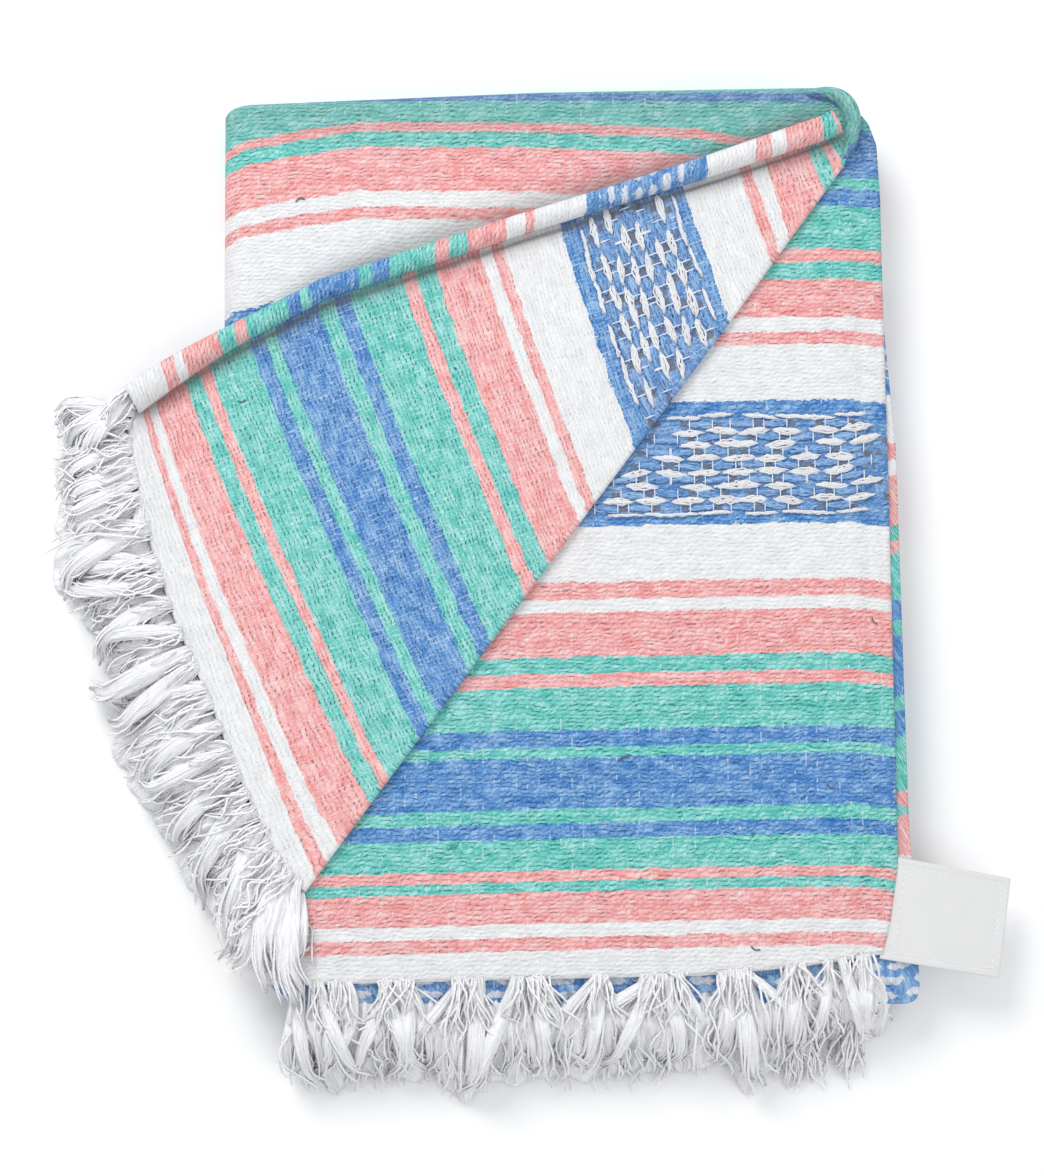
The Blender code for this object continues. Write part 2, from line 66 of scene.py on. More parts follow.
# The packet, as its solids have it
WALL = 2.0
GAP = 0.3
PITCH = 2.2
HIDDEN_LAYERS = 14
QUARTER = 4 * PITCH
CORE_HEIGHT = HIDDEN_LAYERS * PITCH
STACK_HEIGHT = CORE_HEIGHT + 2 * (WALL + GAP)
SIDE_RADIUS = STACK_HEIGHT / 2
BACK_RADIUS = (STACK_HEIGHT - GAP - (HIDDEN_LAYERS - 2) * PITCH) / 2
BEND_RADIUS = WALL + GAP / 2

Edge = namedtuple("Edge", "along place")
Spot = namedtuple("Spot", "x y")
Stripe = namedtuple("Stripe", "place pattern")

CORE_FRONT = -198
FAR_BACK = 252
FAR_LEFT = -149
FAR_RIGHT = 190
LEFT_EDGE = (Edge(CORE_FRONT, -127), Edge(0, -142), Edge(110, -147), Edge(FAR_BACK, FAR_LEFT))
CORE_RIGHT_EDGE = (Edge(CORE_FRONT, 188), Edge(-110, 184), Edge(70, 182), Edge(130, 177.5), Edge(FAR_BACK, 175))
FRONT_PANEL_RIGHT_EDGE = (
    Edge(-180, 169),
    Edge(-160, 174),
    Edge(-132, 178.5),
    Edge(60, 178),
    Edge(195, 177),
    Edge(222, 175.5),
    Edge(233, 171.5),
    Edge(240, 165),
    Edge(247, 156),
    Edge(FAR_BACK, 146),
)
BACK_CORNER_RADIUS = 30
SELVAGE_WIDTH = 11.0

BACK_EDGE = (Edge(FAR_LEFT, 242), Edge(-80, 245), Edge(11, 249), Edge(153, 251.5), Edge(FAR_RIGHT, 251))
FRONT_PANEL_END = (Edge(-128, -190), Edge(-10, -187), Edge(84, -185), Edge(131, -181), Edge(170, -175))
FRONT_STRIPE_END = (Edge(-128, -190), Edge(-10, -187), Edge(84, -185), Edge(131, -184), Edge(164, -184), Edge(178, -186.5))
UPPER_PANEL_END = -146
CREASE = (
    Edge(UPPER_PANEL_END, -102),
    Edge(5, 9),
    Edge(127, 99),
    Edge(210, 159),
    Edge(236, 168),
    Edge(FAR_BACK, 168),
)
CREASE_SLOPE = math.radians(54)
ROLL_LINE = (Spot(-191, 94), Spot(-96, 145), Spot(-2, 177), Spot(95, 208), Spot(148, 226), Spot(163, 234))
TIP_SHARE = 0.975
FLAP_END = (
    Spot(-102, -146), Spot(-117, -129), Spot(-128, -106), Spot(-138, -83), Spot(-147, -61),
    Spot(-156, -41), Spot(-168, -15), Spot(-181, 22), Spot(-189, 53), Spot(-193, 70), Spot(-195, 82), Spot(-191, 94),
)
END_BAND = 0.03
WEFT_RUN = (-0.367, 0.93)
OVERHANG_RADIUS = 92
ROLL_RADIUS = 6.4
ROLL_TIP_RADIUS = 7.4
ROLL_END_RADIUS = 8.9
ROLL_TURNS = 1.2
ROLL_WIDENS_FROM = 0.7
LABEL_CORNERS = (Spot(176.5, -129), Spot(233, -139), Spot(226, -186), Spot(168.5, -177))
LABEL_DROOP = 7

# The drawing frame's place in the frame of the solids
LABEL_LOW = Spot(173.5, -186)
SHIFT = np.array([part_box("label")[0].x / MM - LABEL_LOW.x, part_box("label")[0].y / MM - LABEL_LOW.y, 0.0])

# Where the weft stripes lie. A pattern value is a distance in the stripe design from the middle of its
# blue group, and the design turns back on itself every half period
HALF_PERIOD = 156.0
DESIGN = (
    ("blue", 12.5),
    ("green", 18.5),
    ("blue", 27.0),
    ("green", 48.0),
    ("coral", 54.5),
    ("green", 62.5),
    ("coral", 84.0),
    ("white", 90.5),
    ("coral", 98.0),
    ("white", 125.0),
    ("blue", 133.0),
    ("diamond", 156.0),
)
BAND_START = 133.0
CONTRAST = {"blue": 0.85, "green": 1.0, "coral": 0.78, "white": 0.34, "diamond": 0.6}
FRONT_STRIPES = (
    Stripe(-189.3, -118), Stripe(-171.6, -98), Stripe(-165.3, -90.5), Stripe(-159, -84),
    Stripe(-144.2, -62.5), Stripe(-139.1, -54.5), Stripe(-134.1, -48), Stripe(-119.1, -27),
    Stripe(-112, -18.5), Stripe(-104.9, -12.5), Stripe(-93, 0), Stripe(-81.1, 12.5),
    Stripe(-76.3, 18.5), Stripe(-68.2, 27), Stripe(-47.5, 48), Stripe(-41.3, 54.5),
    Stripe(-33.1, 62.5), Stripe(-11.3, 84), Stripe(-5.4, 90.5), Stripe(3.3, 98),
    Stripe(30.3, 125), Stripe(36.6, 133), Stripe(59.3, 156), Stripe(82.1, 179),
    Stripe(92.1, 187), Stripe(119.6, 214), Stripe(126.2, 221.5), Stripe(133.2, 228),
    Stripe(152.4, 249.5), Stripe(161.5, 257.5), Stripe(167.6, 264), Stripe(189.5, 285),
    Stripe(198.2, 293.5), Stripe(204.4, 299.5), Stripe(227.5, 324.5), Stripe(245, 342),
    Stripe(275, 372),
)
UPPER_STRIPES = (
    Stripe(-150, -109), Stripe(136.8, 179), Stripe(148, 187), Stripe(183.4, 214), Stripe(189.6, 221.5),
    Stripe(197.6, 228), Stripe(220.2, 249.5), Stripe(228.2, 257.5), Stripe(232.7, 264),
    Stripe(243.5, 285), Stripe(248, 293.5), Stripe(254, 299.5), Stripe(280, 325),
)
UPPER_TILT = (Edge(-170, -14), Edge(-148, -12), Edge(-112, -5), Edge(-79, 0), Edge(11, -0.5), Edge(88, -4), Edge(150, -14))
FLAP_STRIPES = (
    Stripe(0, -106), Stripe(4, -98), Stripe(8, -90.5), Stripe(12.1, -84), Stripe(29.5, -62.5),
    Stripe(37.5, -54.5), Stripe(42.6, -48), Stripe(65.5, -27), Stripe(72.9, -18.5), Stripe(79.7, -12.5),
    Stripe(91.1, 0), Stripe(102.1, 12.5), Stripe(110.8, 18.5), Stripe(118.4, 27), Stripe(146, 48),
    Stripe(152.5, 54.5), Stripe(162.7, 62.5), Stripe(186.2, 84), Stripe(192.2, 90.5),
    Stripe(197.7, 98), Stripe(227.1, 125), Stripe(238.3, 133), Stripe(260.6, 156), Stripe(283.4, 179),
    Stripe(291.5, 187), Stripe(320.3, 214), Stripe(326.9, 221.5), Stripe(334.1, 228),
    Stripe(354.9, 249.5), Stripe(360.8, 257.5), Stripe(365, 264), Stripe(378.8, 285),
)
ROLL_STRIPES = (
    Stripe(0, -118), Stripe(19.7, -98), Stripe(26.5, -90.5), Stripe(31.4, -84), Stripe(51.3, -62.5),
    Stripe(59.9, -54.5), Stripe(66.3, -48), Stripe(88.5, -27), Stripe(95.1, -18.5),
    Stripe(100.4, -12.5), Stripe(113.3, 0), Stripe(125.2, 12.5), Stripe(131.6, 18.5),
    Stripe(140.7, 27), Stripe(164.8, 48), Stripe(171.4, 54.5), Stripe(180.9, 62.5), Stripe(201.1, 84),
    Stripe(211, 90.5), Stripe(215.5, 98), Stripe(241.3, 125), Stripe(249.1, 133), Stripe(272.6, 156),
    Stripe(297, 179), Stripe(304.8, 187), Stripe(329.8, 214), Stripe(338.1, 221.5),
    Stripe(345.5, 228), Stripe(364.2, 249.5), Stripe(371, 257.5), Stripe(376.4, 264), Stripe(385, 276),
)
FOLDED_STRIPES = (
    Stripe(-198, 156), Stripe(-175, 133), Stripe(-167, 125), Stripe(-140, 98), Stripe(-131, 84),
    Stripe(-110.6, 62.5), Stripe(-109, 56), Stripe(-78.5, 30), Stripe(-70.9, 27), Stripe(-8.3, -27),
    Stripe(15.7, -48), Stripe(20.6, -54.5), Stripe(28.5, -62.5), Stripe(67.6, -96), Stripe(70.6, -98),
    Stripe(92.6, -125), Stripe(110, -140), Stripe(140, -172), Stripe(252, -284),
)
CREASE_TO_ROLL = (
    Edge(0, 0), Edge(0.058, 0.032), Edge(0.112, 0.078), Edge(0.256, 0.2435), Edge(0.436, 0.453),
    Edge(0.639, 0.679), Edge(0.769, 0.795), Edge(0.861, 0.896), Edge(1, 1),
)

# The diamond band: rows of floats, long loose passes of weft shaped like lenses. White rows and blue rows
# take turns, and each row's lenses stand farther out from the diamond's eye than the last row's
EYE_PLACE = 105.0
EYE_SPACING = 66.0
FLAP_EYE_SHIFT = 2.5
FLOAT_SPACING = 16.4
FLOAT_LENGTH = 13.4
FLOAT_STRANDS = 5
FLOAT_STEP = 1.85
BLUE_START = 7.0
FLOAT_ROWS = 6


def linear(red, green, blue):
    """A colour on a screen's scale of 255 as the amounts of light that it stands for."""
    shares = np.array([red, green, blue]) / 255
    light = np.where(shares <= 0.04045, shares / 12.92, ((shares + 0.055) / 1.055) ** 2.4)
    return tuple(float(value) for value in light)


class BlanketSizes(bpy.types.PropertyGroup):
    row_pitch: FloatProperty(name="Weft row", description="Height of one row of weft", default=2.2, min=0.5)
    dash_pitch: FloatProperty(name="Weft dash", description="Length of weft between warps", default=4.4, min=1)
    yarn_width: FloatProperty(name="Fringe yarn", description="Thickness of a fringe yarn", default=1.35, min=0.2)
    bunch_pitch: FloatProperty(name="Fringe bunch", description="Distance between fringe bunches", default=30)
    float_row: FloatProperty(name="Diamond row", description="Height of one row of floats in the design", default=3.45)
    seed: IntProperty(name="Seed", description="Starting number of the fringe's scatter", default=7, min=0)


class BlanketColours(bpy.types.PropertyGroup):
    coral: FloatVectorProperty(name="Coral", description="Coral weft", subtype="COLOR", size=3,
                               default=linear(237, 170, 169), min=0, max=1)
    green: FloatVectorProperty(name="Green", description="Aqua green weft", subtype="COLOR", size=3,
                               default=linear(115, 201, 193), min=0, max=1)
    blue: FloatVectorProperty(name="Blue", description="Blue weft", subtype="COLOR", size=3,
                              default=linear(94, 145, 202), min=0, max=1)
    white: FloatVectorProperty(name="White", description="White weft", subtype="COLOR", size=3,
                               default=linear(230, 230, 231), min=0, max=1)
    cotton: FloatVectorProperty(name="Cotton", description="Fringe yarn", subtype="COLOR", size=3,
                                default=linear(250, 250, 252), min=0, max=1)
    tape: FloatVectorProperty(name="Label", description="Label tape", subtype="COLOR", size=3,
                              default=linear(232, 232, 232), min=0, max=1)


# Shader maths


class Thread:
    """A value in a material's node tree, so that maths on it reads as an ordinary sum."""

    def __init__(self, dyer, socket):
        self.dyer = dyer
        self.socket = socket

    def __add__(self, other):
        return self.dyer.maths("ADD", self, other)

    __radd__ = __add__

    def __sub__(self, other):
        return self.dyer.maths("SUBTRACT", self, other)

    def __neg__(self):
        return self.dyer.maths("MULTIPLY", self, -1.0)

    def __rsub__(self, other):
        return self.dyer.maths("SUBTRACT", other, self)

    def __mul__(self, other):
        return self.dyer.maths("MULTIPLY", self, other)

    __rmul__ = __mul__

    def __truediv__(self, other):
        return self.dyer.maths("DIVIDE", self, other)

    def __pow__(self, other):
        return self.dyer.maths("POWER", self, other)


class Dyer:
    """Makes one material's nodes."""

    def __init__(self, name, roughness=0.9):
        self.material = bpy.data.materials.new(name)
        self.material.use_nodes = True
        self.tree = self.material.node_tree
        self.shader = self.tree.nodes["Principled BSDF"]
        self.shader.inputs["Roughness"].default_value = roughness
        self.shader.inputs["Specular IOR Level"].default_value = 0.2

    def node(self, kind, settings=None, values=None):
        """Adds a node, sets its settings and then its sockets, and gives its outputs."""
        made = self.tree.nodes.new(kind)
        for name, value in (settings or {}).items():
            if name == "stops":
                self.set_stops(made.color_ramp, value)
            else:
                setattr(made, name, value)
        for name, value in (values or {}).items():
            self.join(made.inputs[name], value)
        return [Thread(self, output) for output in made.outputs if output.enabled]

    def set_stops(self, ramp, stops):
        ramp.interpolation = "CONSTANT"
        while len(ramp.elements) < len(stops):
            ramp.elements.new(1.0)
        for element, (position, colour) in zip(ramp.elements, stops):
            element.position = position
            element.color = (*colour, 1)

    def join(self, socket, value):
        if isinstance(value, Thread):
            self.tree.links.new(value.socket, socket)
        elif socket.type == "RGBA":
            socket.default_value = (*tuple(value)[:3], 1)
        else:
            socket.default_value = value

    def maths(self, operation, *values, clamp=False):
        return self.node(
            "ShaderNodeMath", {"operation": operation, "use_clamp": clamp}, dict(enumerate(values))
        )[0]

    def place(self, *parts):
        return self.node("ShaderNodeCombineXYZ", None, dict(enumerate(parts)))[0]

    def read(self, attribute):
        vector = self.node("ShaderNodeAttribute", {"attribute_name": attribute})[1]
        return self.node("ShaderNodeSeparateXYZ", None, {0: vector})

    def noise(self, *parts, detail=2.0, roughness=0.5):
        values = {"Vector": self.place(*parts), "Scale": 1.0, "Detail": detail, "Roughness": roughness}
        return self.node("ShaderNodeTexNoise", {"noise_dimensions": "3D"}, values)[0]

    def spread(self, *parts, detail=2.0):
        """Noise stretched about its middle, so that most of it lies between -1 and 1."""
        return (self.noise(*parts, detail=detail) - 0.5) * 4.5

    def grey(self, tone):
        return self.node("ShaderNodeCombineColor", None, {0: tone, 1: tone, 2: tone})[0]

    def chance(self, *parts):
        return self.node("ShaderNodeTexWhiteNoise", {"noise_dimensions": "3D"}, {"Vector": self.place(*parts)})[0]

    def between(self, value, low, high, to_low=0.0, to_high=1.0):
        """The value's share of the way from low to high, in an S-curve."""
        values = {"Value": value, "From Min": low, "From Max": high, "To Min": to_low, "To Max": to_high}
        return self.node("ShaderNodeMapRange", {"interpolation_type": "SMOOTHSTEP"}, values)[0]

    def float_rows(self, across, turned):
        """Where a place lies among the diamond's floats: 1 on a white row and 0 on a blue one, the share of
        a spacing to the nearest float's middle, and the share of a row to the row's middle."""
        eye = self.maths("PINGPONG", across - EYE_PLACE, EYE_SPACING / 2)
        rows = (HALF_PERIOD - turned) / sizes().float_row
        row = self.maths("ROUND", rows)
        odd = self.maths("PINGPONG", row, 1.0)
        start = row * FLOAT_STEP + odd * -FLOAT_STEP + (1 - odd) * BLUE_START
        place = (eye - start) / FLOAT_SPACING
        away = self.maths("ABSOLUTE", place - self.maths("ROUND", place))
        return odd, away, self.maths("ABSOLUTE", rows - row)

    def painted_floats(self, across, turned):
        """1 where a white float lies: a lens round the middle of each float in the white rows."""
        odd, away, height = self.float_rows(across, turned)
        return odd * self.maths("LESS_THAN", height * 1.3 + (away * 2.6) ** 2, 1.0)

    def open_gap_shade(self, across, turned):
        """How open the cloth is, most between the ends of the blue rows' floats: a mask for painted shade in the
        openings.
        """
        odd, away, height = self.float_rows(across, turned)
        return (1 - odd) * self.between(away, 0.36, 0.42) * self.between(height, 0.5, 0.3)

    def stripes(self, turned):
        """The weft's colour at a distance in the design, and how far its gaps stand out."""
        tints = []
        contrasts = []
        place = 0.0
        for colour, end in DESIGN:
            tint = np.array(getattr(colours(), "blue" if colour == "diamond" else colour))
            if colour == "diamond":
                tint = tint * 0.94 + np.array(colours().white) * 0.06
            tints.append((place, tuple(tint)))
            contrasts.append((place, (CONTRAST[colour],) * 3))
            place = end / HALF_PERIOD
        share = turned / HALF_PERIOD
        return [self.node("ShaderNodeValToRGB", {"stops": stops}, {0: share})[0] for stops in (tints, contrasts)]

    def mix(self, share, first, second, blend="MIX"):
        settings = {"data_type": "RGBA", "blend_type": blend, "clamp_factor": True}
        made = self.tree.nodes.new("ShaderNodeMix")
        for name, value in settings.items():
            setattr(made, name, value)
        for socket, value in ((made.inputs[0], share), (made.inputs[6], first), (made.inputs[7], second)):
            self.join(socket, value)
        return Thread(self, made.outputs[2])

    def finish(self, colour, height, depth, roughness=None):
        self.join(self.shader.inputs["Base Color"], colour)
        bump = self.node("ShaderNodeBump", None, {"Height": height, "Distance": depth, "Strength": 1.0})[0]
        self.join(self.shader.inputs["Normal"], bump)
        if roughness is not None:
            self.join(self.shader.inputs["Roughness"], roughness)
        return self.material


def sizes():
    return bpy.context.scene.blanket_sizes


def colours():
    return bpy.context.scene.blanket_colours


def weave_material(name, mesh=0.0, bare_band=True):
    """Stripes of coarse weft. Slanted dashes of weft lie in wavy rows, in a brick bond. The yarn is flecked
    lighter and darker along its length, and a pale warp shows here and there. A painted highlight lightens
    each dash's crown, and painted shade darkens the troughs between rows and the gaps between dashes, most
    where a gap is deep. The mesh share opens more gaps, as in a slack weave. A bare band gets painted shade in
    the openings between its floats' ends, for floats to lie on, and any other has its floats painted."""
    dyer = Dyer(name)
    across, along, pattern = dyer.read("cloth")
    fleck = dyer.spread(across / (1.5 - mesh * 0.6), along / 0.7, 5.0, detail=3.0)
    grain = dyer.spread(across / 0.75, along / 0.5, 8.0, detail=1.0)
    pattern = pattern + dyer.spread(across / 9, along / 4, 2.0) * 0.8 + fleck * 0.5
    turned = dyer.maths("PINGPONG", pattern, HALF_PERIOD)
    weft, contrast = dyer.stripes(turned)
    in_band = dyer.maths("GREATER_THAN", turned, BAND_START)
    if not bare_band:
        weft = dyer.mix(in_band * dyer.painted_floats(across, turned) * 0.75, weft, tuple(colours().white))

    rows = along / sizes().row_pitch + dyer.spread(across / 13, along / 9, 3.0) * 0.55
    row = dyer.maths("FLOOR", rows)
    pitch = sizes().dash_pitch * (1 - mesh * 0.42)
    runs = across / pitch + dyer.chance(row, 7.0, 1.0) * (1 - mesh * 0.85)
    runs = runs + dyer.spread(across / 6, row * 3.7, 9.0) * 0.4
    dash = dyer.maths("FLOOR", runs)
    lengthwise = dyer.maths("FRACT", runs)
    crosswise = dyer.maths("FRACT", rows - (lengthwise - 0.5) * (0.42 - mesh * 0.3))
    ridge = dyer.maths("SINE", crosswise * math.pi)
    belly = dyer.maths("SINE", lengthwise * math.pi)
    shade = dyer.chance(row, dash, 4.0)
    gap = dyer.chance(row, dash, 8.0)
    patch = dyer.spread(across / 9, along / 5, 6.0, detail=3.0)
    slow = dyer.spread(across / 40, along / 30, 0.0)

    pale = dyer.node("ShaderNodeGamma", None, {"Color": weft, "Gamma": 0.50})[0]
    rich = dyer.node("ShaderNodeGamma", None, {"Color": weft, "Gamma": 1.45})[0]
    # Painted highlight: the middle of each dash, its crown, is lightened as if lit.
    lit_crown = ridge * belly
    tone = patch * 0.52 - slow * 0.16 + fleck * 0.46 + grain * 0.42 + (shade - 0.4) * lit_crown * 0.6 + (lit_crown - 0.6) * 0.3
    colour = dyer.mix(dyer.between(tone, -0.30, 0.95), weft, pale)
    colour = dyer.mix(dyer.between(tone, 0.05, -0.75) * 0.9, colour, rich)
    # Painted shade: the troughs between rows and the deep gaps between dashes are darkened as if in shade.
    shaded_trough = dyer.between(ridge, 0.72, 0.2)
    deep = shaded_trough * dyer.between(gap + grain * 0.10, 0.42 - mesh * 0.02, 0.88) * dyer.between(belly, 0.35, 0.8)
    deep = dyer.maths("MAXIMUM", deep, shaded_trough * (0.30 - mesh * 0.18)) * contrast
    if mesh:
        crossing = dyer.between(belly, 0.5, 0.1) * dyer.between(dyer.chance(dash, row, 1.0) + patch * 0.1, 0.2, 0.7)
        colour = dyer.mix(crossing * (mesh * 0.6), colour, dyer.mix(0.5, pale, (0.80, 0.84, 0.84)))
    colour = dyer.mix(deep * 0.86, colour, dyer.mix(1.0, rich, (0.20, 0.28, 0.32), "MULTIPLY"))
    warp = dyer.maths("ABSOLUTE", dyer.maths("FRACT", across / 5.3 + fleck * 0.03) - 0.5)
    tick = dyer.between(warp, 0.09, 0.03) * dyer.between(
        dyer.chance(dyer.maths("FLOOR", across / 5.3), row, 2.0), 0.84, 0.92)
    colour = dyer.mix(tick * 0.4, colour, (0.80, 0.86, 0.88))
    colour = dyer.mix(1.0, colour, dyer.grey(0.97 + slow * 0.03), "MULTIPLY")
    # Painted shade: the attribute's value lays a grey over the colour where shade falls on the cloth.
    crease = dyer.node("ShaderNodeAttribute", {"attribute_name": "crease_grey"})[2]
    colour = dyer.mix(crease * (0.9 + fleck * 0.15), colour, (0.19, 0.18, 0.18))
    # Painted shade: the openings between the blue floats' ends are darkened as if in shade.
    if bare_band:
        colour = dyer.mix(in_band * dyer.open_gap_shade(across, turned) * 0.8, colour, (0.16, 0.15, 0.16))
    height = ridge * belly ** 0.4 + fleck * 0.25 + slow * 0.5 - deep * 0.8
    return dyer.finish(colour, height, 0.16 * MM)


def cotton_material(name):
    """Soft cotton: each yarn has its own shade, and fine ridges wind round it."""
    dyer = Dyer(name)
    length, around, yarn = dyer.read("strand")
    shade = dyer.chance(yarn, 1.0, 1.0)
    twist = dyer.maths("SINE", (length / 2.2 + around) * TURN)
    fibre = dyer.spread(length / 1.2, around * 3, yarn)
    tone = 0.95 + shade * 0.05 + fibre * 0.03 + twist * 0.02
    colour = dyer.mix(1.0, tuple(colours().cotton), dyer.grey(tone), "MULTIPLY")
    return dyer.finish(colour, twist * 0.4 + fibre * 0.3, 0.1 * MM)


def float_material(name):
    """Blue or white weft lying loose: each strand has its own shade, and flecks along it. A strand's number
    is over 1 if it is blue."""
    dyer = Dyer(name)
    length, around, strand = dyer.read("strand")
    blue = dyer.maths("GREATER_THAN", strand, 1.0)
    lines = dyer.spread(length / 2.5, around * 2, strand * 90, detail=3.0)
    patch = (dyer.maths("FRACT", strand) - 0.5) * 1.6
    dyed, bare = np.array(colours().blue), np.array(colours().white)
    tint = dyer.mix(blue, tuple(0.90 * bare + 0.05 * dyed), tuple(0.95 * dyed + 0.05 * bare))
    pale = dyer.node("ShaderNodeGamma", None, {"Color": tint, "Gamma": 0.55})[0]
    rich = dyer.node("ShaderNodeGamma", None, {"Color": tint, "Gamma": 1.5})[0]
    colour = dyer.mix(dyer.between(lines * 0.7 + patch * 0.6, -0.6, 0.8), tint, pale)
    colour = dyer.mix(dyer.between(lines * 0.7 + patch * 0.5, -0.2, -1.3), colour, rich)
    return dyer.finish(colour, lines, 0.15 * MM)


def matted_material(name):
    """Matted cotton: fine wavering lines along the fringe, with soft grey between them."""
    dyer = Dyer(name)
    length, place, lock = dyer.read("strand")
    bent = place + dyer.spread(length / 16, place / 12, lock) * 1.5
    lines = dyer.spread(length / 14, bent / 0.75, lock, detail=3.0)
    broad = dyer.spread(length / 18, bent / 4.0, lock)
    tone = 0.96 + lines * 0.055 + broad * 0.03
    colour = dyer.mix(1.0, tuple(colours().cotton), dyer.grey(tone), "MULTIPLY")
    return dyer.finish(colour, lines, 0.25 * MM)


def odd_thread_material(name):
    """A dark, green or coral thread, by its number: 0, 1 or 2."""
    dyer = Dyer(name)
    length, around, kind = dyer.read("strand")
    deep = [tuple(tone**power for tone in colour) for colour, power in ((colours().green, 2.6), (colours().coral, 2.4))]
    colour = dyer.mix(dyer.maths("GREATER_THAN", kind, 0.5), (0.03, 0.03, 0.04), deep[0])
    colour = dyer.mix(dyer.maths("GREATER_THAN", kind, 1.5), colour, deep[1])
    fibre = dyer.spread(length / 1.5, around * 3, kind)
    return dyer.finish(dyer.mix(0.15 + fibre * 0.1, colour, tuple(colours().white)), fibre, 0.1 * MM)


def tape_material(name):
    """Smooth woven tape: fine threads across each other."""
    dyer = Dyer(name, 0.7)
    across, along, _ = dyer.read("cloth")
    warp = dyer.maths("SINE", across / 0.9 * TURN)
    weft = dyer.maths("SINE", along / 0.75 * TURN)
    slow = dyer.noise(across / 12, along / 12, 0.0)
    tone = 0.97 + warp * weft * 0.03 + (slow - 0.5) * 0.05
    colour = dyer.mix(1.0, tuple(colours().tape), dyer.grey(tone), "MULTIPLY")
    return dyer.finish(colour, warp * weft, 0.08 * MM)


_made = {}


def material(kind, maker):
    if kind not in _made:
        _made[kind] = maker(kind)
    return _made[kind]


# Meshes


def read(edge, along):
    """The edge's place at a distance along it, in straight runs between the rows of its table."""
    return np.interp(along, [row[0] for row in edge], [row[1] for row in edge])


def smooth(value):
    """0 below 0, 1 above 1, and an S-curve between."""
    value = np.clip(value, 0, 1)
    return value * value * (3 - 2 * value)


def settle(x, y):
    """How far the top of the stack lies below its full height: soft edges at the right and front, and slow waves."""
    right = -3.0 * smooth((x - read(CORE_RIGHT_EDGE, y) + 26) / 26)
    front = -2.2 * smooth((CORE_FRONT + 28 - y) / 28)
    waves = 0.5 * np.sin(x / 37 + 1) * np.sin(y / 52)
    behind = (y - read(ROLL_LINE, x)) * 0.94
    waves = waves - 4.5 * np.exp(-(((behind - 10) / 7.0) ** 2)) * smooth((x + 120) / 90) * smooth((165 - x) / 40)
    from_back = smooth((read(BACK_EDGE, x) - BACK_RADIUS - WALL - y) / 90)
    from_left = smooth((x - read(LEFT_EDGE, y) - SIDE_RADIUS) / 60)
    return (right + front + waves) * from_back * from_left


def add_piece(name, points, faces, attribute, values, finish, replaced=()):
    """Makes one piece from points in the drawing frame, with the values that its finish reads at each point."""
    mesh = bpy.data.meshes.new(name)
    mesh.from_pydata(((np.asarray(points, float) + SHIFT) * MM).tolist(), [], faces)
    mesh.polygons.foreach_set("use_smooth", np.ones(len(mesh.polygons), bool))
    stored = mesh.attributes.new(attribute, "FLOAT_VECTOR", "POINT")
    stored.data.foreach_set("vector", np.asarray(values, np.float32).ravel())
    mesh.materials.append(finish)
    mesh.update()
    piece = bpy.data.objects.new(name, mesh)
    bpy.context.scene.collection.objects.link(piece)
    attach(piece, "root")
    if replaced:
        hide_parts(*replaced)
    return piece


def grid_quads(rows, columns, close=False):
    """The quads of a grid of points numbered row by row, with the last column joined to the first if close."""
    index = np.arange(rows * columns).reshape(rows, columns)
    if close:
        index = np.concatenate([index, index[:, :1]], axis=1)
    corners = [index[:-1, :-1], index[:-1, 1:], index[1:, 1:], index[1:, :-1]]
    return np.stack(corners, axis=-1).reshape(-1, 4)


def wall_quads(rows, columns):
    """The quads of a thin wall: its outer grid, its inner grid turned round, and the rim between them."""
    outer = grid_quads(rows, columns)
    count = rows * columns
    index = np.arange(count).reshape(rows, columns)
    rim = np.concatenate([index[0], index[1:, -1], index[-1, -2::-1], index[-2:0:-1, 0]])
    after = np.roll(rim, -1)
    band = np.stack([after, rim, rim + count, after + count], axis=-1)
    return np.concatenate([outer, outer[:, ::-1] + count, band]).tolist()


def slack_weave_material(name):
    return weave_material(name, mesh=1.0)


def painted_weave_material(name):
    return weave_material(name, bare_band=False)


def add_cloth(name, outer, inner, values, shade, replaced, kind="striped_weave", maker=weave_material):
    """A cloth wall from two grids of points, with its stripes on both faces and its painted shade, a grey where shade
    falls on it.
    """
    rows, columns = outer.shape[:2]
    points = np.concatenate([outer.reshape(-1, 3), inner.reshape(-1, 3)])
    doubled = np.concatenate([values.reshape(-1, 3)] * 2)
    finish = material(kind, maker)
    piece = add_piece(name, points, wall_quads(rows, columns), "cloth", doubled, finish, replaced)
    # Stores the painted shade at each point, on both faces.
    stored = piece.data.attributes.new("crease_grey", "FLOAT", "POINT")
    stored.data.foreach_set("value", np.tile(np.broadcast_to(shade, (rows, columns)).ravel(), 2).astype(np.float32))
    return piece


def painted_shade_behind_roll(x, y):
    """Painted shade on the top layer behind the roll: a soft grey band along the roll's line, where the dip before the
    roll lies in shade.
    """
    behind = (y - read(ROLL_LINE, x)) * 0.94
    along = smooth((x + 135) / 60) * smooth((158 - x) / 25)
    return 0.66 * np.exp(-(((behind - 6) / 6.5) ** 2)) * along


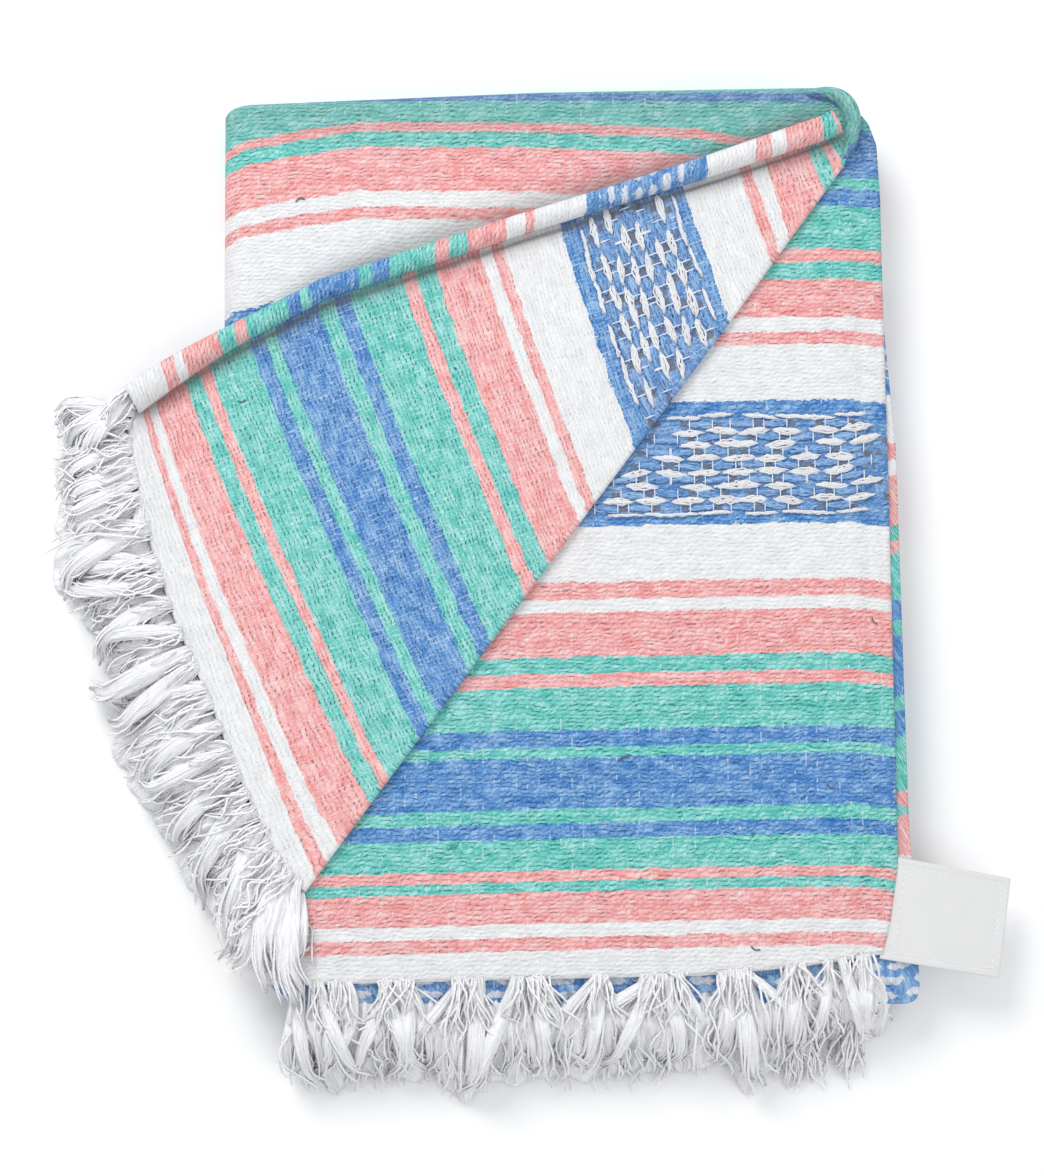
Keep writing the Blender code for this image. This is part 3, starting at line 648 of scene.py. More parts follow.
def panel(depth, columns, rows, end_of, right_of, last_angle):
    """One layer's face at a depth below the packet's top, and how far each point lies along and across it.

    A row runs from the front edge straight to the back, and then round the back fold. A column's share
    runs from -1 to 0 round the left fold and from 0 to 1 on the flat, to the right edge.
    """
    share = np.concatenate([np.linspace(-1, 0, columns[0] + 1)[:-1], np.linspace(0, 1, columns[1])])[None, :]
    flat = np.maximum(share, 0)
    run = np.linspace(0, 1, rows[0])[:, None]
    angle = np.radians(np.linspace(0, last_angle, rows[1] + 1)[1:])[:, None]
    radius = BACK_RADIUS - depth
    x_front = np.full(share.shape, float(read(LEFT_EDGE, CORE_FRONT)))
    x_back = np.full(share.shape, float(FAR_LEFT))
    for _ in range(6):
        start = end_of(x_front)
        centre = read(BACK_EDGE, x_back) - BACK_RADIUS
        y = np.concatenate([start + (centre - start) * run, centre + radius * np.sin(angle)])
        length = np.concatenate([start + (centre - start) * run, centre + BACK_RADIUS * angle + 0 * centre])
        left = read(LEFT_EDGE, y) + SIDE_RADIUS
        x = left + (right_of(y) - left) * flat
        x_front, x_back = x[:1], x[-1:]
    deep = np.concatenate([np.full((rows[0], 1), depth), BACK_RADIUS - radius * np.cos(angle)])
    turn = math.pi * np.maximum(-share, 0)
    z = np.where(share > 0, STACK_HEIGHT - deep + settle(x, y), SIDE_RADIUS + (SIDE_RADIUS - deep) * np.cos(turn))
    x = x - np.where(share > 0, 0, (SIDE_RADIUS - deep) * np.sin(turn))
    width = np.where(share > 0, x, left - SIDE_RADIUS * turn)
    return np.stack([x, y, z], axis=-1), length, width


def front_end(x):
    return read(FRONT_PANEL_END, x)


def front_pattern(x, length):
    """The pattern value on the front panel: its stripes turn with its end at the front and its fold at the back."""
    end, back = read(FRONT_STRIPE_END, x), read(BACK_EDGE, x)
    end_there, back_there = read(FRONT_STRIPE_END, 86.0), read(BACK_EDGE, 86.0)
    place = end_there + (length - end) / (back - end) * (back_there - end_there)
    return read(FRONT_STRIPES, place)


def front_cloth():
    def right_of(y):
        return read(FRONT_PANEL_RIGHT_EDGE, y)

    outer, length, width = panel(WALL + GAP, (12, 130), (170, 8), front_end, right_of, 130)
    inner = panel(2 * WALL + GAP, (12, 130), (170, 8), front_end, right_of, 130)[0]
    inside = outer[..., 0] - read(FRONT_PANEL_RIGHT_EDGE, outer[..., 1]) + SELVAGE_WIDTH
    groove = 1.3 * np.exp(-((inside / 2.3) ** 2)) + 0.8 * smooth(inside / SELVAGE_WIDTH)
    groove = groove * smooth((236 - outer[..., 1]) / 12)
    outer[..., 2] -= groove
    inner[..., 2] -= groove
    values = np.stack([width, length, front_pattern(outer[..., 0], length)], axis=-1)
    # Painted shade: the front panel turns greyer towards the back fold.
    return outer, inner, values, 0.25 * smooth((length - 190) / 50)


def upper_cloth():
    def right_of(y):
        corner = 18 * smooth((y - 234) / 18) ** 1.5
        return read(CREASE, y) - (BEND_RADIUS + 3 * GAP) / math.sin(CREASE_SLOPE) - corner

    def end_of(x):
        return np.full(np.shape(x), float(UPPER_PANEL_END))

    outer, length, width = panel(0, (14, 110), (150, 12), end_of, right_of, 172)
    inner = panel(WALL, (14, 110), (150, 12), end_of, right_of, 172)[0]
    tilt = read(UPPER_TILT, width) * (1 - smooth((length - 225) / 20))
    pattern = read(UPPER_STRIPES, length - tilt)
    # Painted shade: greyer towards the back fold, and in a band behind the roll.
    shade = 0.32 * smooth((length - 212) / 26) + painted_shade_behind_roll(outer[..., 0], outer[..., 1])
    return outer, inner, np.stack([width, length, pattern], axis=-1), shade


def arc_points(spots, shares):
    """Points at the given shares of the length of a line through some spots."""
    spots = np.array(spots, float)
    steps = np.linalg.norm(np.diff(spots, axis=0), axis=1)
    travelled = np.concatenate([[0], np.cumsum(steps)]) / steps.sum()
    return np.stack([np.interp(shares, travelled, spots[:, axis]) for axis in (0, 1)], axis=-1)


def crease_points(shares):
    return arc_points([Spot(row.place, row.along) for row in CREASE[:-1]], shares)


def flap_height(x, y):
    """Height of the turned corner's underside: it lies on the top layer and sags where it leaves the packet."""
    overhang = np.maximum(read(LEFT_EDGE, y) + SIDE_RADIUS - x, 0)
    return STACK_HEIGHT + GAP + settle(x, y) - overhang**2 / (2 * OVERHANG_RADIUS)


def flap_plan(shares, reach):
    """Plan points of the turned corner: shares run from the fringe to the tip, and reach from the crease to the roll."""
    low = crease_points(shares)
    high = arc_points(ROLL_LINE, shares)
    straight = low + (high - low) * reach[..., None]
    return straight + end_bow(reach) * (0.3 * (1 - shares) ** 1.5 + 0.7 * in_end_band(shares))[..., None]


def end_bow(reach):
    """How far the fringed end of the turned corner bows out of the straight line between its two ends."""
    first, last = np.array(FLAP_END[0], float), np.array(FLAP_END[-1], float)
    return arc_points(FLAP_END, reach) - (first + (last - first) * np.asarray(reach)[..., None])


def in_end_band(shares):
    """1 at the fringed end, and 0 past the plain white band beside it."""
    return 1 - smooth(shares / END_BAND)


def roll_length():
    return float(np.linalg.norm(np.diff(np.array(ROLL_LINE, float), axis=0), axis=1).sum())


def turned_cloth():
    """A bend round the crease, and then the layer that lies on the packet, as far as the roll."""
    shares = np.concatenate([np.linspace(0, END_BAND, 12), np.linspace(END_BAND, TIP_SHARE, 139)[1:]])[:, None]
    crease = crease_points(shares[:, 0])
    run = np.gradient(crease, axis=0)
    run /= np.linalg.norm(run, axis=1, keepdims=True)
    inward = np.stack([-run[:, 1], run[:, 0]], axis=-1)
    width = np.linalg.norm(arc_points(ROLL_LINE, shares[:, 0]) - crease, axis=1)[:, None]
    reach = np.linspace(0, 1, 101)[None, 1:]
    last = 1 - 2 * GAP / width
    level = (STACK_HEIGHT + GAP / 2 + settle(crease[:, 0], crease[:, 1]))[:, None]
    start = np.minimum(BEND_RADIUS / width, 0.6)
    away = start + (last - start) * reach
    plan = flap_plan(np.broadcast_to(shares, away.shape), away)
    angle = np.radians(np.linspace(-90, 90, 12))[None, :]
    walls = []
    for radius, lift in ((BEND_RADIUS, WALL), (GAP / 2, 0)):
        round_x = crease[:, None, :] + inward[:, None, :] * (BEND_RADIUS - radius * np.cos(angle))[..., None]
        bend = np.concatenate([round_x, (level + radius * np.sin(angle))[..., None]], axis=-1)
        z = flap_height(plan[..., 0], plan[..., 1]) + lift
        top = np.concatenate([plan, z[..., None]], axis=-1)
        walls.append(np.concatenate([bend, top], axis=1)[::-1])
    bend_reach = np.zeros((1, 12)) * width
    away = np.concatenate([bend_reach, away], axis=1)
    across = flap_weft(np.concatenate([bend[..., :2], plan], axis=1))
    matched = read(CREASE_TO_ROLL, shares)
    along = roll_length() * (shares + (matched - shares) * (1 - away))
    along = along - 0.7 * np.linalg.norm(end_bow(away), axis=-1) * in_end_band(shares)
    values = np.stack([across, along, read(FLAP_STRIPES, along)], axis=-1)
    # Painted shade: a dark line on the turned corner just beside the roll, where the roll shades it, inside a softer
    # grey band.
    from_roll = (1 - away) * width
    shade = 0.75 * np.exp(-(((from_roll - 6.9) / 1.1) ** 2)) + 0.22 * np.exp(-(((from_roll - 7) / 5) ** 2))
    return walls[0], walls[1], values[::-1], shade[::-1]


def roll_frame(shares):
    """The roll's line in plan, the direction outwards from it, and its radius, at shares of its length."""
    line = arc_points(ROLL_LINE, shares)
    run = np.gradient(line, axis=0)
    run /= np.linalg.norm(run, axis=1, keepdims=True)
    outward = np.stack([-run[:, 1], run[:, 0]], axis=-1)
    widening = smooth((shares - ROLL_WIDENS_FROM) / (1 - ROLL_WIDENS_FROM))
    radius = ROLL_RADIUS + (ROLL_TIP_RADIUS - ROLL_RADIUS) * widening + (ROLL_END_RADIUS - ROLL_RADIUS) * smooth(1 - shares / 0.2)
    return line, outward, radius


def rolled_cloth():
    """The free selvage as a scroll: its radius shrinks by a cloth's thickness in each turn."""
    shares = np.linspace(0, TIP_SHARE, 230)
    line, outward, radius = roll_frame(shares)
    floor = flap_height(line[:, 0], line[:, 1])
    turn = np.linspace(0, ROLL_TURNS, 52)
    angle = TURN * turn
    sides = []
    for inset in (0, WALL):
        reach = radius[:, None] - (WALL + GAP) * turn - inset
        plan = line[:, None, :] + outward[:, None, :] * (reach * np.sin(angle))[..., None]
        z = floor[:, None] + radius[:, None] - reach * np.cos(angle)
        sides.append(np.concatenate([plan, z[..., None]], axis=-1))
    sides[0][:, 0, :2] += outward * (2 * GAP)
    sides[1][:, 0, :2] += outward * (2 * GAP)
    along = roll_length() * shares[:, None] + 8 * (turn[None, :] - 0.5)
    across = -TURN * ROLL_RADIUS * turn[None, :] + 0 * along
    values = np.stack([across, along, read(ROLL_STRIPES, along)], axis=-1)
    # Painted shade on the roll: a dark line low on its front side and a lighter one on its back side.
    shade = 0.55 * np.exp(-(((turn - 0.78) / 0.05) ** 2)) + 0.4 * np.exp(-(((turn - 0.25) / 0.06) ** 2))
    return sides[0], sides[1], values, shade[None, :]


HOOD_LINE = (
    Spot(141, 247), Spot(150, 247.5), Spot(158, 245), Spot(162.5, 239), Spot(164, 230), Spot(162, 221), Spot(157, 212),
)
HOOD_RADIUS = 4.6


def hood_cloth():
    """The top layer's far corner, drawn over the roll's tip: half a tube along a bent line, thin at both ends."""
    share = np.linspace(0, 1, 60)
    bent = np.linspace(0, 1, len(HOOD_LINE))
    line = np.stack([np.interp(share, bent, [spot[axis] for spot in HOOD_LINE]) for axis in (0, 1)], axis=-1)
    for _ in range(30):
        line[1:-1] = (line[:-2] + 2 * line[1:-1] + line[2:]) / 4
    run = np.gradient(line, axis=0)
    run /= np.linalg.norm(run, axis=1, keepdims=True)
    outward = np.stack([-run[:, 1], run[:, 0]], axis=-1)
    size = (0.25 + 0.75 * np.sin(share * math.pi) ** 0.6)[:, None]
    angle = np.radians(np.linspace(-15, 185, 26))[None, :]
    base = STACK_HEIGHT + settle(line[:, 0], line[:, 1])[:, None] - 1.0
    sides = []
    for inset in (0, 1.4):
        wide = HOOD_RADIUS * size - inset * size
        tall = 8.6 * size - inset
        plan = line[:, None, :] + outward[:, None, :] * (wide * np.cos(angle))[..., None]
        sides.append(np.concatenate([plan, (base + tall * np.sin(angle))[..., None]], axis=-1))
    across = share[:, None] * 48 + 0 * angle
    along = np.degrees(angle) / 14 + 0 * across
    pattern = 296 - 6 * share[:, None] + np.degrees(angle) / 30
    # Painted shade greys the whole hood.
    return sides[0], sides[1], np.stack([across, along, pattern], axis=-1), 0.3


def back_inset(z):
    if z > (HIDDEN_LAYERS - 2) * PITCH:
        return BACK_RADIUS + 3 * GAP
    middle = QUARTER * (math.floor(min(z, 3 * QUARTER - 0.01) / QUARTER) + 0.5)
    radius = QUARTER / 2
    return radius - math.sqrt(max(radius**2 - (z - middle) ** 2, 0)) + 0.1


def side_inset(z, y, back):
    full = SIDE_RADIUS - 2 * (WALL + GAP)
    tight = SIDE_RADIUS - 2 * BACK_RADIUS - GAP
    radius = full + (tight - full) * smooth((y - back + 14) / 6)
    return SIDE_RADIUS + GAP - np.sqrt(np.maximum(radius**2 - (z - SIDE_RADIUS) ** 2, 0))


def right_inset(z, edge):
    if z < 2 * QUARTER:
        return QUARTER - math.sqrt(max(QUARTER**2 - (z - QUARTER) ** 2, 0)) + 0.2 + 0.8 * edge
    return 1.6 * edge + 0.4 * math.sin(z)


def front_inset(z, edge):
    pair = int(min(z, CORE_HEIGHT - 0.01) / (2 * PITCH))
    if pair in (0, 3, 4):
        return 8 + 1.3 * edge
    middle = 2 * PITCH * (pair + 0.5)
    return PITCH - math.sqrt(max(PITCH**2 - (z - middle) ** 2, 0))


def hidden_ring(z, edge, ends=100, sides=120):
    """One level's outline round the packet, counter-clockwise from the front left corner."""
    inset_back, inset_front, inset_right = back_inset(z), front_inset(z, edge), right_inset(z, edge)
    end_share = (1 - np.cos(np.linspace(0, math.pi, ends))) / 2 * 0.4 + np.linspace(0, 1, ends) * 0.6
    side_share = (1 - np.cos(np.linspace(0, math.pi, sides))) / 2 * 0.4 + np.linspace(0, 1, sides) * 0.6
    front = CORE_FRONT + inset_front
    left_front = read(LEFT_EDGE, front) + float(side_inset(z, front, FAR_BACK))
    right_front = read(CORE_RIGHT_EDGE, front) - inset_right
    back_left = read(BACK_EDGE, FAR_LEFT) - inset_back
    back_right = read(BACK_EDGE, FAR_RIGHT) - inset_back

    def rounded(distance, radius=7):
        short = np.clip(radius - distance, 0, radius)
        return radius - np.sqrt(radius**2 - short**2)

    x = left_front + (right_front - left_front) * end_share
    front_side = np.stack([x, front + rounded(right_front - x) + rounded(x - left_front, 16)], axis=-1)
    y = front + 7 + (back_right - front - 7) * side_share
    corner = rounded(back_right - y, BACK_CORNER_RADIUS)
    right_side = np.stack([read(CORE_RIGHT_EDGE, y) - inset_right - corner, y], axis=-1)
    left_back = FAR_LEFT + float(side_inset(z, FAR_BACK, back_left))
    right_back = read(CORE_RIGHT_EDGE, FAR_BACK) - inset_right - BACK_CORNER_RADIUS
    x = right_back + (left_back - right_back) * end_share
    back_side = np.stack([x, read(BACK_EDGE, x) - inset_back], axis=-1)
    y = back_left + (front + 16 - back_left) * side_share
    left_side = np.stack([read(LEFT_EDGE, y) + side_inset(z, y, back_left), y], axis=-1)
    front_side[-1] = (front_side[-1] + right_side[0]) / 2
    return np.concatenate([front_side[:-1], right_side[:-1], back_side[:-1], left_side[:-1]])


def hidden_layers():
    """The hidden layers as one solid: rings up each layer's rounded edge, and a soft top."""
    steps = 5
    rings = []
    values = []
    levels = [(0.02, 0.6, 0)]
    for layer in range(HIDDEN_LAYERS):
        for step in range(steps):
            share = (step + 0.5) / steps
            levels.append(((layer + share) * PITCH, abs(math.cos(share * math.pi)) ** 2.2, layer))
    levels[-1] = (CORE_HEIGHT - 2 * GAP, 0.4, HIDDEN_LAYERS - 1)
    for z, edge, layer in levels:
        ring = hidden_ring(z, edge)
        lift = settle(ring[:, 0], ring[:, 1]) * (z / CORE_HEIGHT) ** 1.5
        rings.append(np.concatenate([ring, (z + lift)[:, None]], axis=1))
        stripes = FRONT_STRIPES if layer // 2 in (0, 3, 4) else FOLDED_STRIPES
        pattern = read(stripes, ring[:, 1] + 2.5 * math.sin(layer * 2.3))
        round_edge = np.full(len(ring), ring[:, 0].max() + z * 1.0)
        values.append(np.stack([ring[:, 0] + round_edge * 0, ring[:, 1] + 0.8 * z, pattern], axis=1))
    rim = hidden_ring(CORE_HEIGHT - 2 * GAP, 0.4)
    middle = rim.mean(axis=0)
    for step in range(1, 7):
        ring = middle + (rim - middle) * (1 - (step / 7) ** 1.3)
        level = CORE_HEIGHT - 0.5 + settle(*ring.T)
        rings.append(np.concatenate([ring, level[:, None]], axis=1))
        values.append(np.concatenate([ring, read(FOLDED_STRIPES, ring[:, 1])[:, None]], axis=1))
    count = len(rim)
    points = np.concatenate(rings)
    faces = grid_quads(len(rings), count, close=True).tolist()
    faces.append(list(range(count))[::-1])
    faces.append(list(range(len(points) - count, len(points))))
    return points, faces, np.concatenate(values)


# Fringe


def float_centres(first, last, eye_place):
    """Each float's row, and its place along the weft between two ends. Each eye's lenses are mirrored about
    it, as far as half-way to the next eye, and two that would nearly meet there are one."""
    found = []
    half = EYE_SPACING / 2
    for row in range(-FLOAT_ROWS - 1, FLOAT_ROWS + 2):
        start = FLOAT_STEP * abs(row) + (-FLOAT_STEP if row % 2 else BLUE_START)
        for eye in range(-4, 5):
            for step in range(-2, 4):
                away = start + FLOAT_SPACING * step
                if not -0.1 <= away <= half:
                    continue
                for side in (-1, 1):
                    place = eye_place + eye * EYE_SPACING + side * away
                    if first < place < last and not (side < 0 and min(away, half - away) < 2.5):
                        found.append((row, place))
    return np.array(found, float)


def float_strands(centres, place_of, dice):
    """The strands of each float, which part in its middle and meet at its ends, and a number for each: over 1
    if it is blue. place_of gives the cloth's points."""
    steps = 9
    row, place = centres.T
    count = len(row)
    along = np.linspace(-1, 1, steps)[None, None, :]
    strand = np.linspace(-1, 1, FLOAT_STRANDS)[None, :, None]
    full = 1 - np.abs(along) ** 2.4
    border = (np.abs(row) > FLOAT_ROWS)[:, None, None]
    blue = (row % 2 == 0)[:, None, None]
    length = np.where(border, FLOAT_SPACING, np.where(blue, 1.0, 1.15) * FLOAT_LENGTH)
    length = length * dice.uniform(0.78, 1.1, (count, FLOAT_STRANDS, 1))
    fat = np.where(border, 0.4, np.where(blue, 1.2, 1.45)) * dice.uniform(0.8, 1.15, (count, 1, 1))
    lean = dice.normal(0, 0.5, (count, 1, 1))
    weft = place[:, None, None] + along * length / 2 + dice.normal(0, 0.4, (count, 1, 1))
    design = row[:, None, None] * sizes().float_row + strand * fat * full + lean * along
    design = design + dice.normal(0, 0.28, (count, FLOAT_STRANDS, steps)) + dice.normal(0, 0.35, (count, 1, 1))
    points = place_of(weft, HALF_PERIOD + design)
    points[..., 2] += 0.3 + 1.0 * full * (1 - 0.45 * strand**2)
    number = np.broadcast_to(blue[..., 0], (count, FLOAT_STRANDS)) * 1.0
    number = number + dice.uniform(0.02, 0.98, number.shape)
    return points.reshape(-1, steps, 3), 1.05, number.ravel()


def warp_ticks(centres, place_of):
    """Short pale lengths of warp across the cloth near both ends of each blue float."""
    blue = centres[centres[:, 0] % 2 == 0]
    row, place = np.concatenate([blue - (0, FLOAT_SPACING * 0.34), blue + (0, FLOAT_SPACING * 0.34)]).T
    run = np.linspace(-1, 1, 5)[None, :]
    design = HALF_PERIOD + (row[:, None] + 0.8 * run) * sizes().float_row
    paths = place_of(place[:, None] + 0 * design, design)
    paths[..., 2] += 0.4 + 0.7 * (1 - run**2)
    return paths


def front_place(weft, design):
    """Points of the front panel's face at places along the weft and in the design."""
    place = np.interp(design, [row.pattern for row in FRONT_STRIPES], [row.place for row in FRONT_STRIPES])
    end, back = read(FRONT_STRIPE_END, weft), read(BACK_EDGE, weft)
    end_there, back_there = read(FRONT_STRIPE_END, 86.0), read(BACK_EDGE, 86.0)
    y = end + (place - end_there) / (back_there - end_there) * (back - end)
    y = y + 0.015 * np.maximum(weft - 150, 0) ** 1.8
    return np.stack([weft, y, STACK_HEIGHT - WALL - GAP + settle(weft, y)], axis=-1)


def flap_weft(plan):
    """How far plan points of the turned corner lie along its weft, matched to the front panel's diamonds."""
    return plan @ np.array(WEFT_RUN) - FLAP_EYE_SHIFT


def flap_spot(weft, design):
    """A plan point of the turned corner at a place along the weft and in the design, and how far it is from
    the crease to the roll. It is found by a few steps towards the wanted place."""
    along = np.interp(design, [row.pattern for row in FLAP_STRIPES], [row.place for row in FLAP_STRIPES])
    part = along / roll_length()
    shares = part + 0 * weft
    away = np.full(shares.shape, 0.5)
    for _ in range(25):
        shares = part + (shares - read(CREASE_TO_ROLL, shares)) * (1 - away)
        plan = flap_plan(shares, away)
        across = flap_weft(plan)
        away = np.clip(away + (weft - across) / 260, 0.0, 1.0)
    return plan, away


def flap_place(weft, design):
    """Points of the turned corner's face at places along the weft and in the design."""
    plan = flap_spot(weft, design)[0]
    return np.concatenate([plan, (flap_height(plan[..., 0], plan[..., 1]) + WALL)[..., None]], axis=-1)


def open_floats():
    """The floats that lie in the open, on the front panel and then on the turned corner."""
    front = float_centres(0, 168, EYE_PLACE)
    x, y, _ = front_place(front[:, 1], HALF_PERIOD + front[:, 0] * sizes().float_row).T
    front = front[x > read(CREASE, y) + 6]
    flap = float_centres(0, 240, EYE_PLACE)
    design = HALF_PERIOD + flap[:, 0] * sizes().float_row
    near = flap_spot(flap[:, 1] - FLOAT_LENGTH / 3, design)[1]
    far = flap_spot(flap[:, 1] + FLOAT_LENGTH / 2, design)[1]
    return front, flap[(near > 0.03) & (far < 0.985)]


def yarn_tubes(paths, width, ids=None, sides=3):
    """Tubes round many paths at once: a ring of points stands across each path at every step.

    paths holds points as yarn, step and axis. A tube narrows to a third of its width at its last step.
    """
    count, steps = paths.shape[:2]
    along = np.gradient(paths, axis=1)
    along /= np.linalg.norm(along, axis=2, keepdims=True) + 1e-9
    side = np.cross(along, np.array([0.13, 0.05, 1.0]))
    side /= np.linalg.norm(side, axis=2, keepdims=True) + 1e-9
    over = np.cross(side, along)
    around = np.arange(sides) / sides * TURN
    narrow = np.ones(steps)
    narrow[-1] = 0.35
    reach = width / 2 * narrow[None, :, None, None]
    ring = side[:, :, None, :] * np.cos(around)[None, None, :, None]
    ring = ring + over[:, :, None, :] * np.sin(around)[None, None, :, None]
    points = paths[:, :, None, :] + ring * reach
    index = np.arange(count * steps * sides).reshape(count, steps, sides)
    turned = np.roll(index, -1, axis=2)
    quads = np.stack([index[:, :-1], turned[:, :-1], turned[:, 1:], index[:, 1:]], axis=-1).reshape(-1, 4)
    caps = np.concatenate([index[:, 0, ::-1], index[:, -1, :]])
    travelled = np.cumsum(np.linalg.norm(np.diff(paths, axis=1, prepend=paths[:, :1]), axis=2), axis=1)
    ids = np.arange(count) if ids is None else ids
    values = np.stack(
        np.broadcast_arrays(travelled[:, :, None], (around / TURN)[None, None, :], ids[:, None, None]), axis=-1
    )
    return points.reshape(-1, 3), quads.tolist() + caps.tolist(), values.reshape(-1, 3)


Hem = namedtuple("Hem", "points outward place")
ROLL_END_TOP = Spot(-194.5, 101.5)
HEM_LEAD = 8.0


def hem_line(points):
    """A cloth edge in plan that fringe leaves: its points, the directions off it, and distances along it."""
    run = np.gradient(points, axis=0)
    run /= np.linalg.norm(run, axis=1, keepdims=True)
    outward = np.stack([run[:, 1], -run[:, 0]], axis=-1)
    place = np.concatenate([[0], np.cumsum(np.linalg.norm(np.diff(points, axis=0), axis=1))])
    return Hem(points, outward, place)


def near_heads(places, heads, dice):
    """Each place moved to the nearest lock's root, give or take a few millimetres."""
    heads = np.asarray(heads, float)
    nearest = heads[np.abs(np.asarray(places)[:, None] - heads).argmin(axis=1)]
    return nearest + dice.normal(0, 2.2, len(nearest))


def fringe_paths(hem, count, length, height_of, steps, dice, bunch=30.0, pull=0.8, lively=1.0, heads=None, drift=0.0):
    """Yarn paths off a hem. Each yarn leaves its own place, is drawn to a bunch a third of the way out, and
    then spreads and curls by a few slow sine waves of its own. height_of gives its height from its plan place."""
    place = np.sort(dice.uniform(hem.place[0], hem.place[-1], count))
    share = np.linspace(0, 1, steps)[None, :]
    number = np.round(place / bunch + dice.normal(0, 0.22, count))
    number = number + np.where(dice.random(count) < 0.25, dice.choice([-1, 1], count), 0)
    centre = number * bunch + 4 * np.sin(number * 2.1)
    centre = np.clip(centre, hem.place[0] + 4, hem.place[-1] - 4)
    toward = (centre - place)[:, None] * pull
    final = place
    if heads is not None:
        place = np.clip(near_heads(place, heads, dice), hem.place[0], hem.place[-1])
    gather = smooth(share / 0.33) - 0.35 * smooth((share - 0.4) / 0.6)
    sway = np.zeros((count, steps))
    for wave in range(3):
        turns = dice.uniform(0.5, 1.2, count)[:, None] * (wave + 1)
        phase = dice.uniform(0, TURN, count)[:, None]
        size = dice.normal(0, 3.0 / (wave + 1) ** 0.7, count)[:, None]
        sway = sway + size * (np.sin(turns * share * TURN + phase) - np.sin(phase)) * share**0.7
    aside = toward * gather + sway * lively + (final - place)[:, None] * smooth(share / 0.6)
    aside = aside + (drift * (1 - smooth(final / 28)))[:, None] * share
    long = length(place) * dice.uniform(0.78, 1.06, count)
    out = long[:, None] * share
    out = out + dice.normal(0, 2.5, count)[:, None] * np.sin(share * math.pi * 2) * lively
    curl = dice.random(count)[:, None] < 0.3
    out = out - np.where(curl, 9 * smooth((share - 0.78) / 0.22) ** 1.5, 0)
    aside = np.clip(aside, hem.place[0] - 6 - place[:, None], hem.place[-1] + 6 - place[:, None])
    plan = off_hem(hem, place, out, aside)[0]
    pile = dice.uniform(0, 1 if heads is None else 1.7, count)[:, None]
    z = height_of(plan, share, pile, place[:, None])
    return np.concatenate([plan, z[..., None]], axis=-1), place


Lock = namedtuple("Lock", "root near far tip reach width")

# Locks of the front fringe: where each leaves the cloth's end in X, how far it has moved right by a third
# and two thirds of its way and at its tip, its reach and its width
FRONT_LOCKS = (
    Lock(-107, 1, 3, 8, 56, 7), Lock(-95, 1, 12, 19, 52, 7), Lock(-88, -1, -3, -8, 49, 6),
    Lock(-82, 8, -2, -18, 48, 6), Lock(-64, -2, -14, -20, 50, 7), Lock(-65, 3, 10, 18, 50, 7),
    Lock(-54, 0, 1, -6, 51, 8), Lock(-28, -8, -26, -33, 40, 6), Lock(-22, 1, 1, -6, 60, 9),
    Lock(-2, -8, -18, -26, 61, 8), Lock(4, 6, 7, 5, 51, 8), Lock(8, 4, 14, 24, 42, 6),
    Lock(36, -9, -22, -35, 34, 6), Lock(38, -2, -6, -9, 50, 8), Lock(64, -9, -32, -46, 26, 6),
    Lock(62, -5, -16, -24, 50, 7), Lock(67, 3, 11, 4, 48, 8), Lock(73, 4, 12, 20, 35, 6),
    Lock(95, 1, 0, -5, 46, 9), Lock(101, 1, 4, 6, 62, 10), Lock(104, 14, 26, 31, 38, 5),
    Lock(127, -2, 0, -4, 45, 10), Lock(130, 7, 16, 24, 34, 6), Lock(145, -2, -8, -15, 42, 6),
    Lock(151, 1, 4, 8, 44, 7), Lock(161, -1, -2, -5, 43, 7),
)
FRONT_REACH = (
    Edge(-110, 54), Edge(-102, 55), Edge(-84, 47), Edge(-40, 50), Edge(-27, 61), Edge(-16, 53),
    Edge(48, 50), Edge(97, 46), Edge(109, 62), Edge(121, 52), Edge(141, 41), Edge(167, 44),
)

# Locks of the turned corner's fringe, from the roll down to the crease, moving down along its edge
FLAP_LOCKS = (
    Lock(-7, 4, 12, 19, 36, 8), Lock(-4, 6, 12, 16, 42, 9), Lock(0, 3, 8, 12, 44, 9), Lock(4, 3, 4, 8, 44, 9), Lock(10, -2, 0, 5, 42, 8), Lock(22, 2, 6, 8, 41, 7), Lock(33, 3, 5, 6, 42, 9),
    Lock(41, 2, 8, 4, 44, 8), Lock(50, 10, 26, 38, 16, 6), Lock(66, 0, 6, 16, 56, 11), Lock(84, -3, -9, -12, 44, 7),
    Lock(92, 2, -8, -14, 54, 9), Lock(106, -3, 2, 8, 50, 9), Lock(121, -8, -14, -18, 46, 8),
    Lock(132, -2, 4, -4, 60, 12), Lock(139, 4, 10, 8, 58, 11), Lock(153, -6, -12, -10, 38, 7),
    Lock(158, 2, 16, 10, 48, 8), Lock(171, -2, 4, 4, 52, 9), Lock(184, 0, 4, -2, 56, 9),
    Lock(196, 3, 10, 15, 52, 8), Lock(206, 6, 18, 30, 46, 8), Lock(214, 2, 12, 26, 50, 9),
    Lock(223, 8, 22, 38, 40, 8), Lock(232, 4, 16, 34, 44, 9), Lock(240, 8, 20, 36, 36, 8), Lock(249, 6, 16, 26, 38, 9),
    Lock(254, 8, 26, 40, 38, 9), Lock(258, 10, 30, 46, 30, 9), Lock(262, 10, 26, 44, 24, 8),
    Lock(246, 14, 34, 48, 44, 9), Lock(238, 12, 34, 50, 40, 9),
)
FLAP_REACH = (
    Edge(0, 42), Edge(40, 44), Edge(74, 56), Edge(104, 46), Edge(134, 45), Edge(156, 60), Edge(174, 57),
    Edge(200, 52), Edge(228, 50), Edge(262, 44), Edge(290, 40),
)


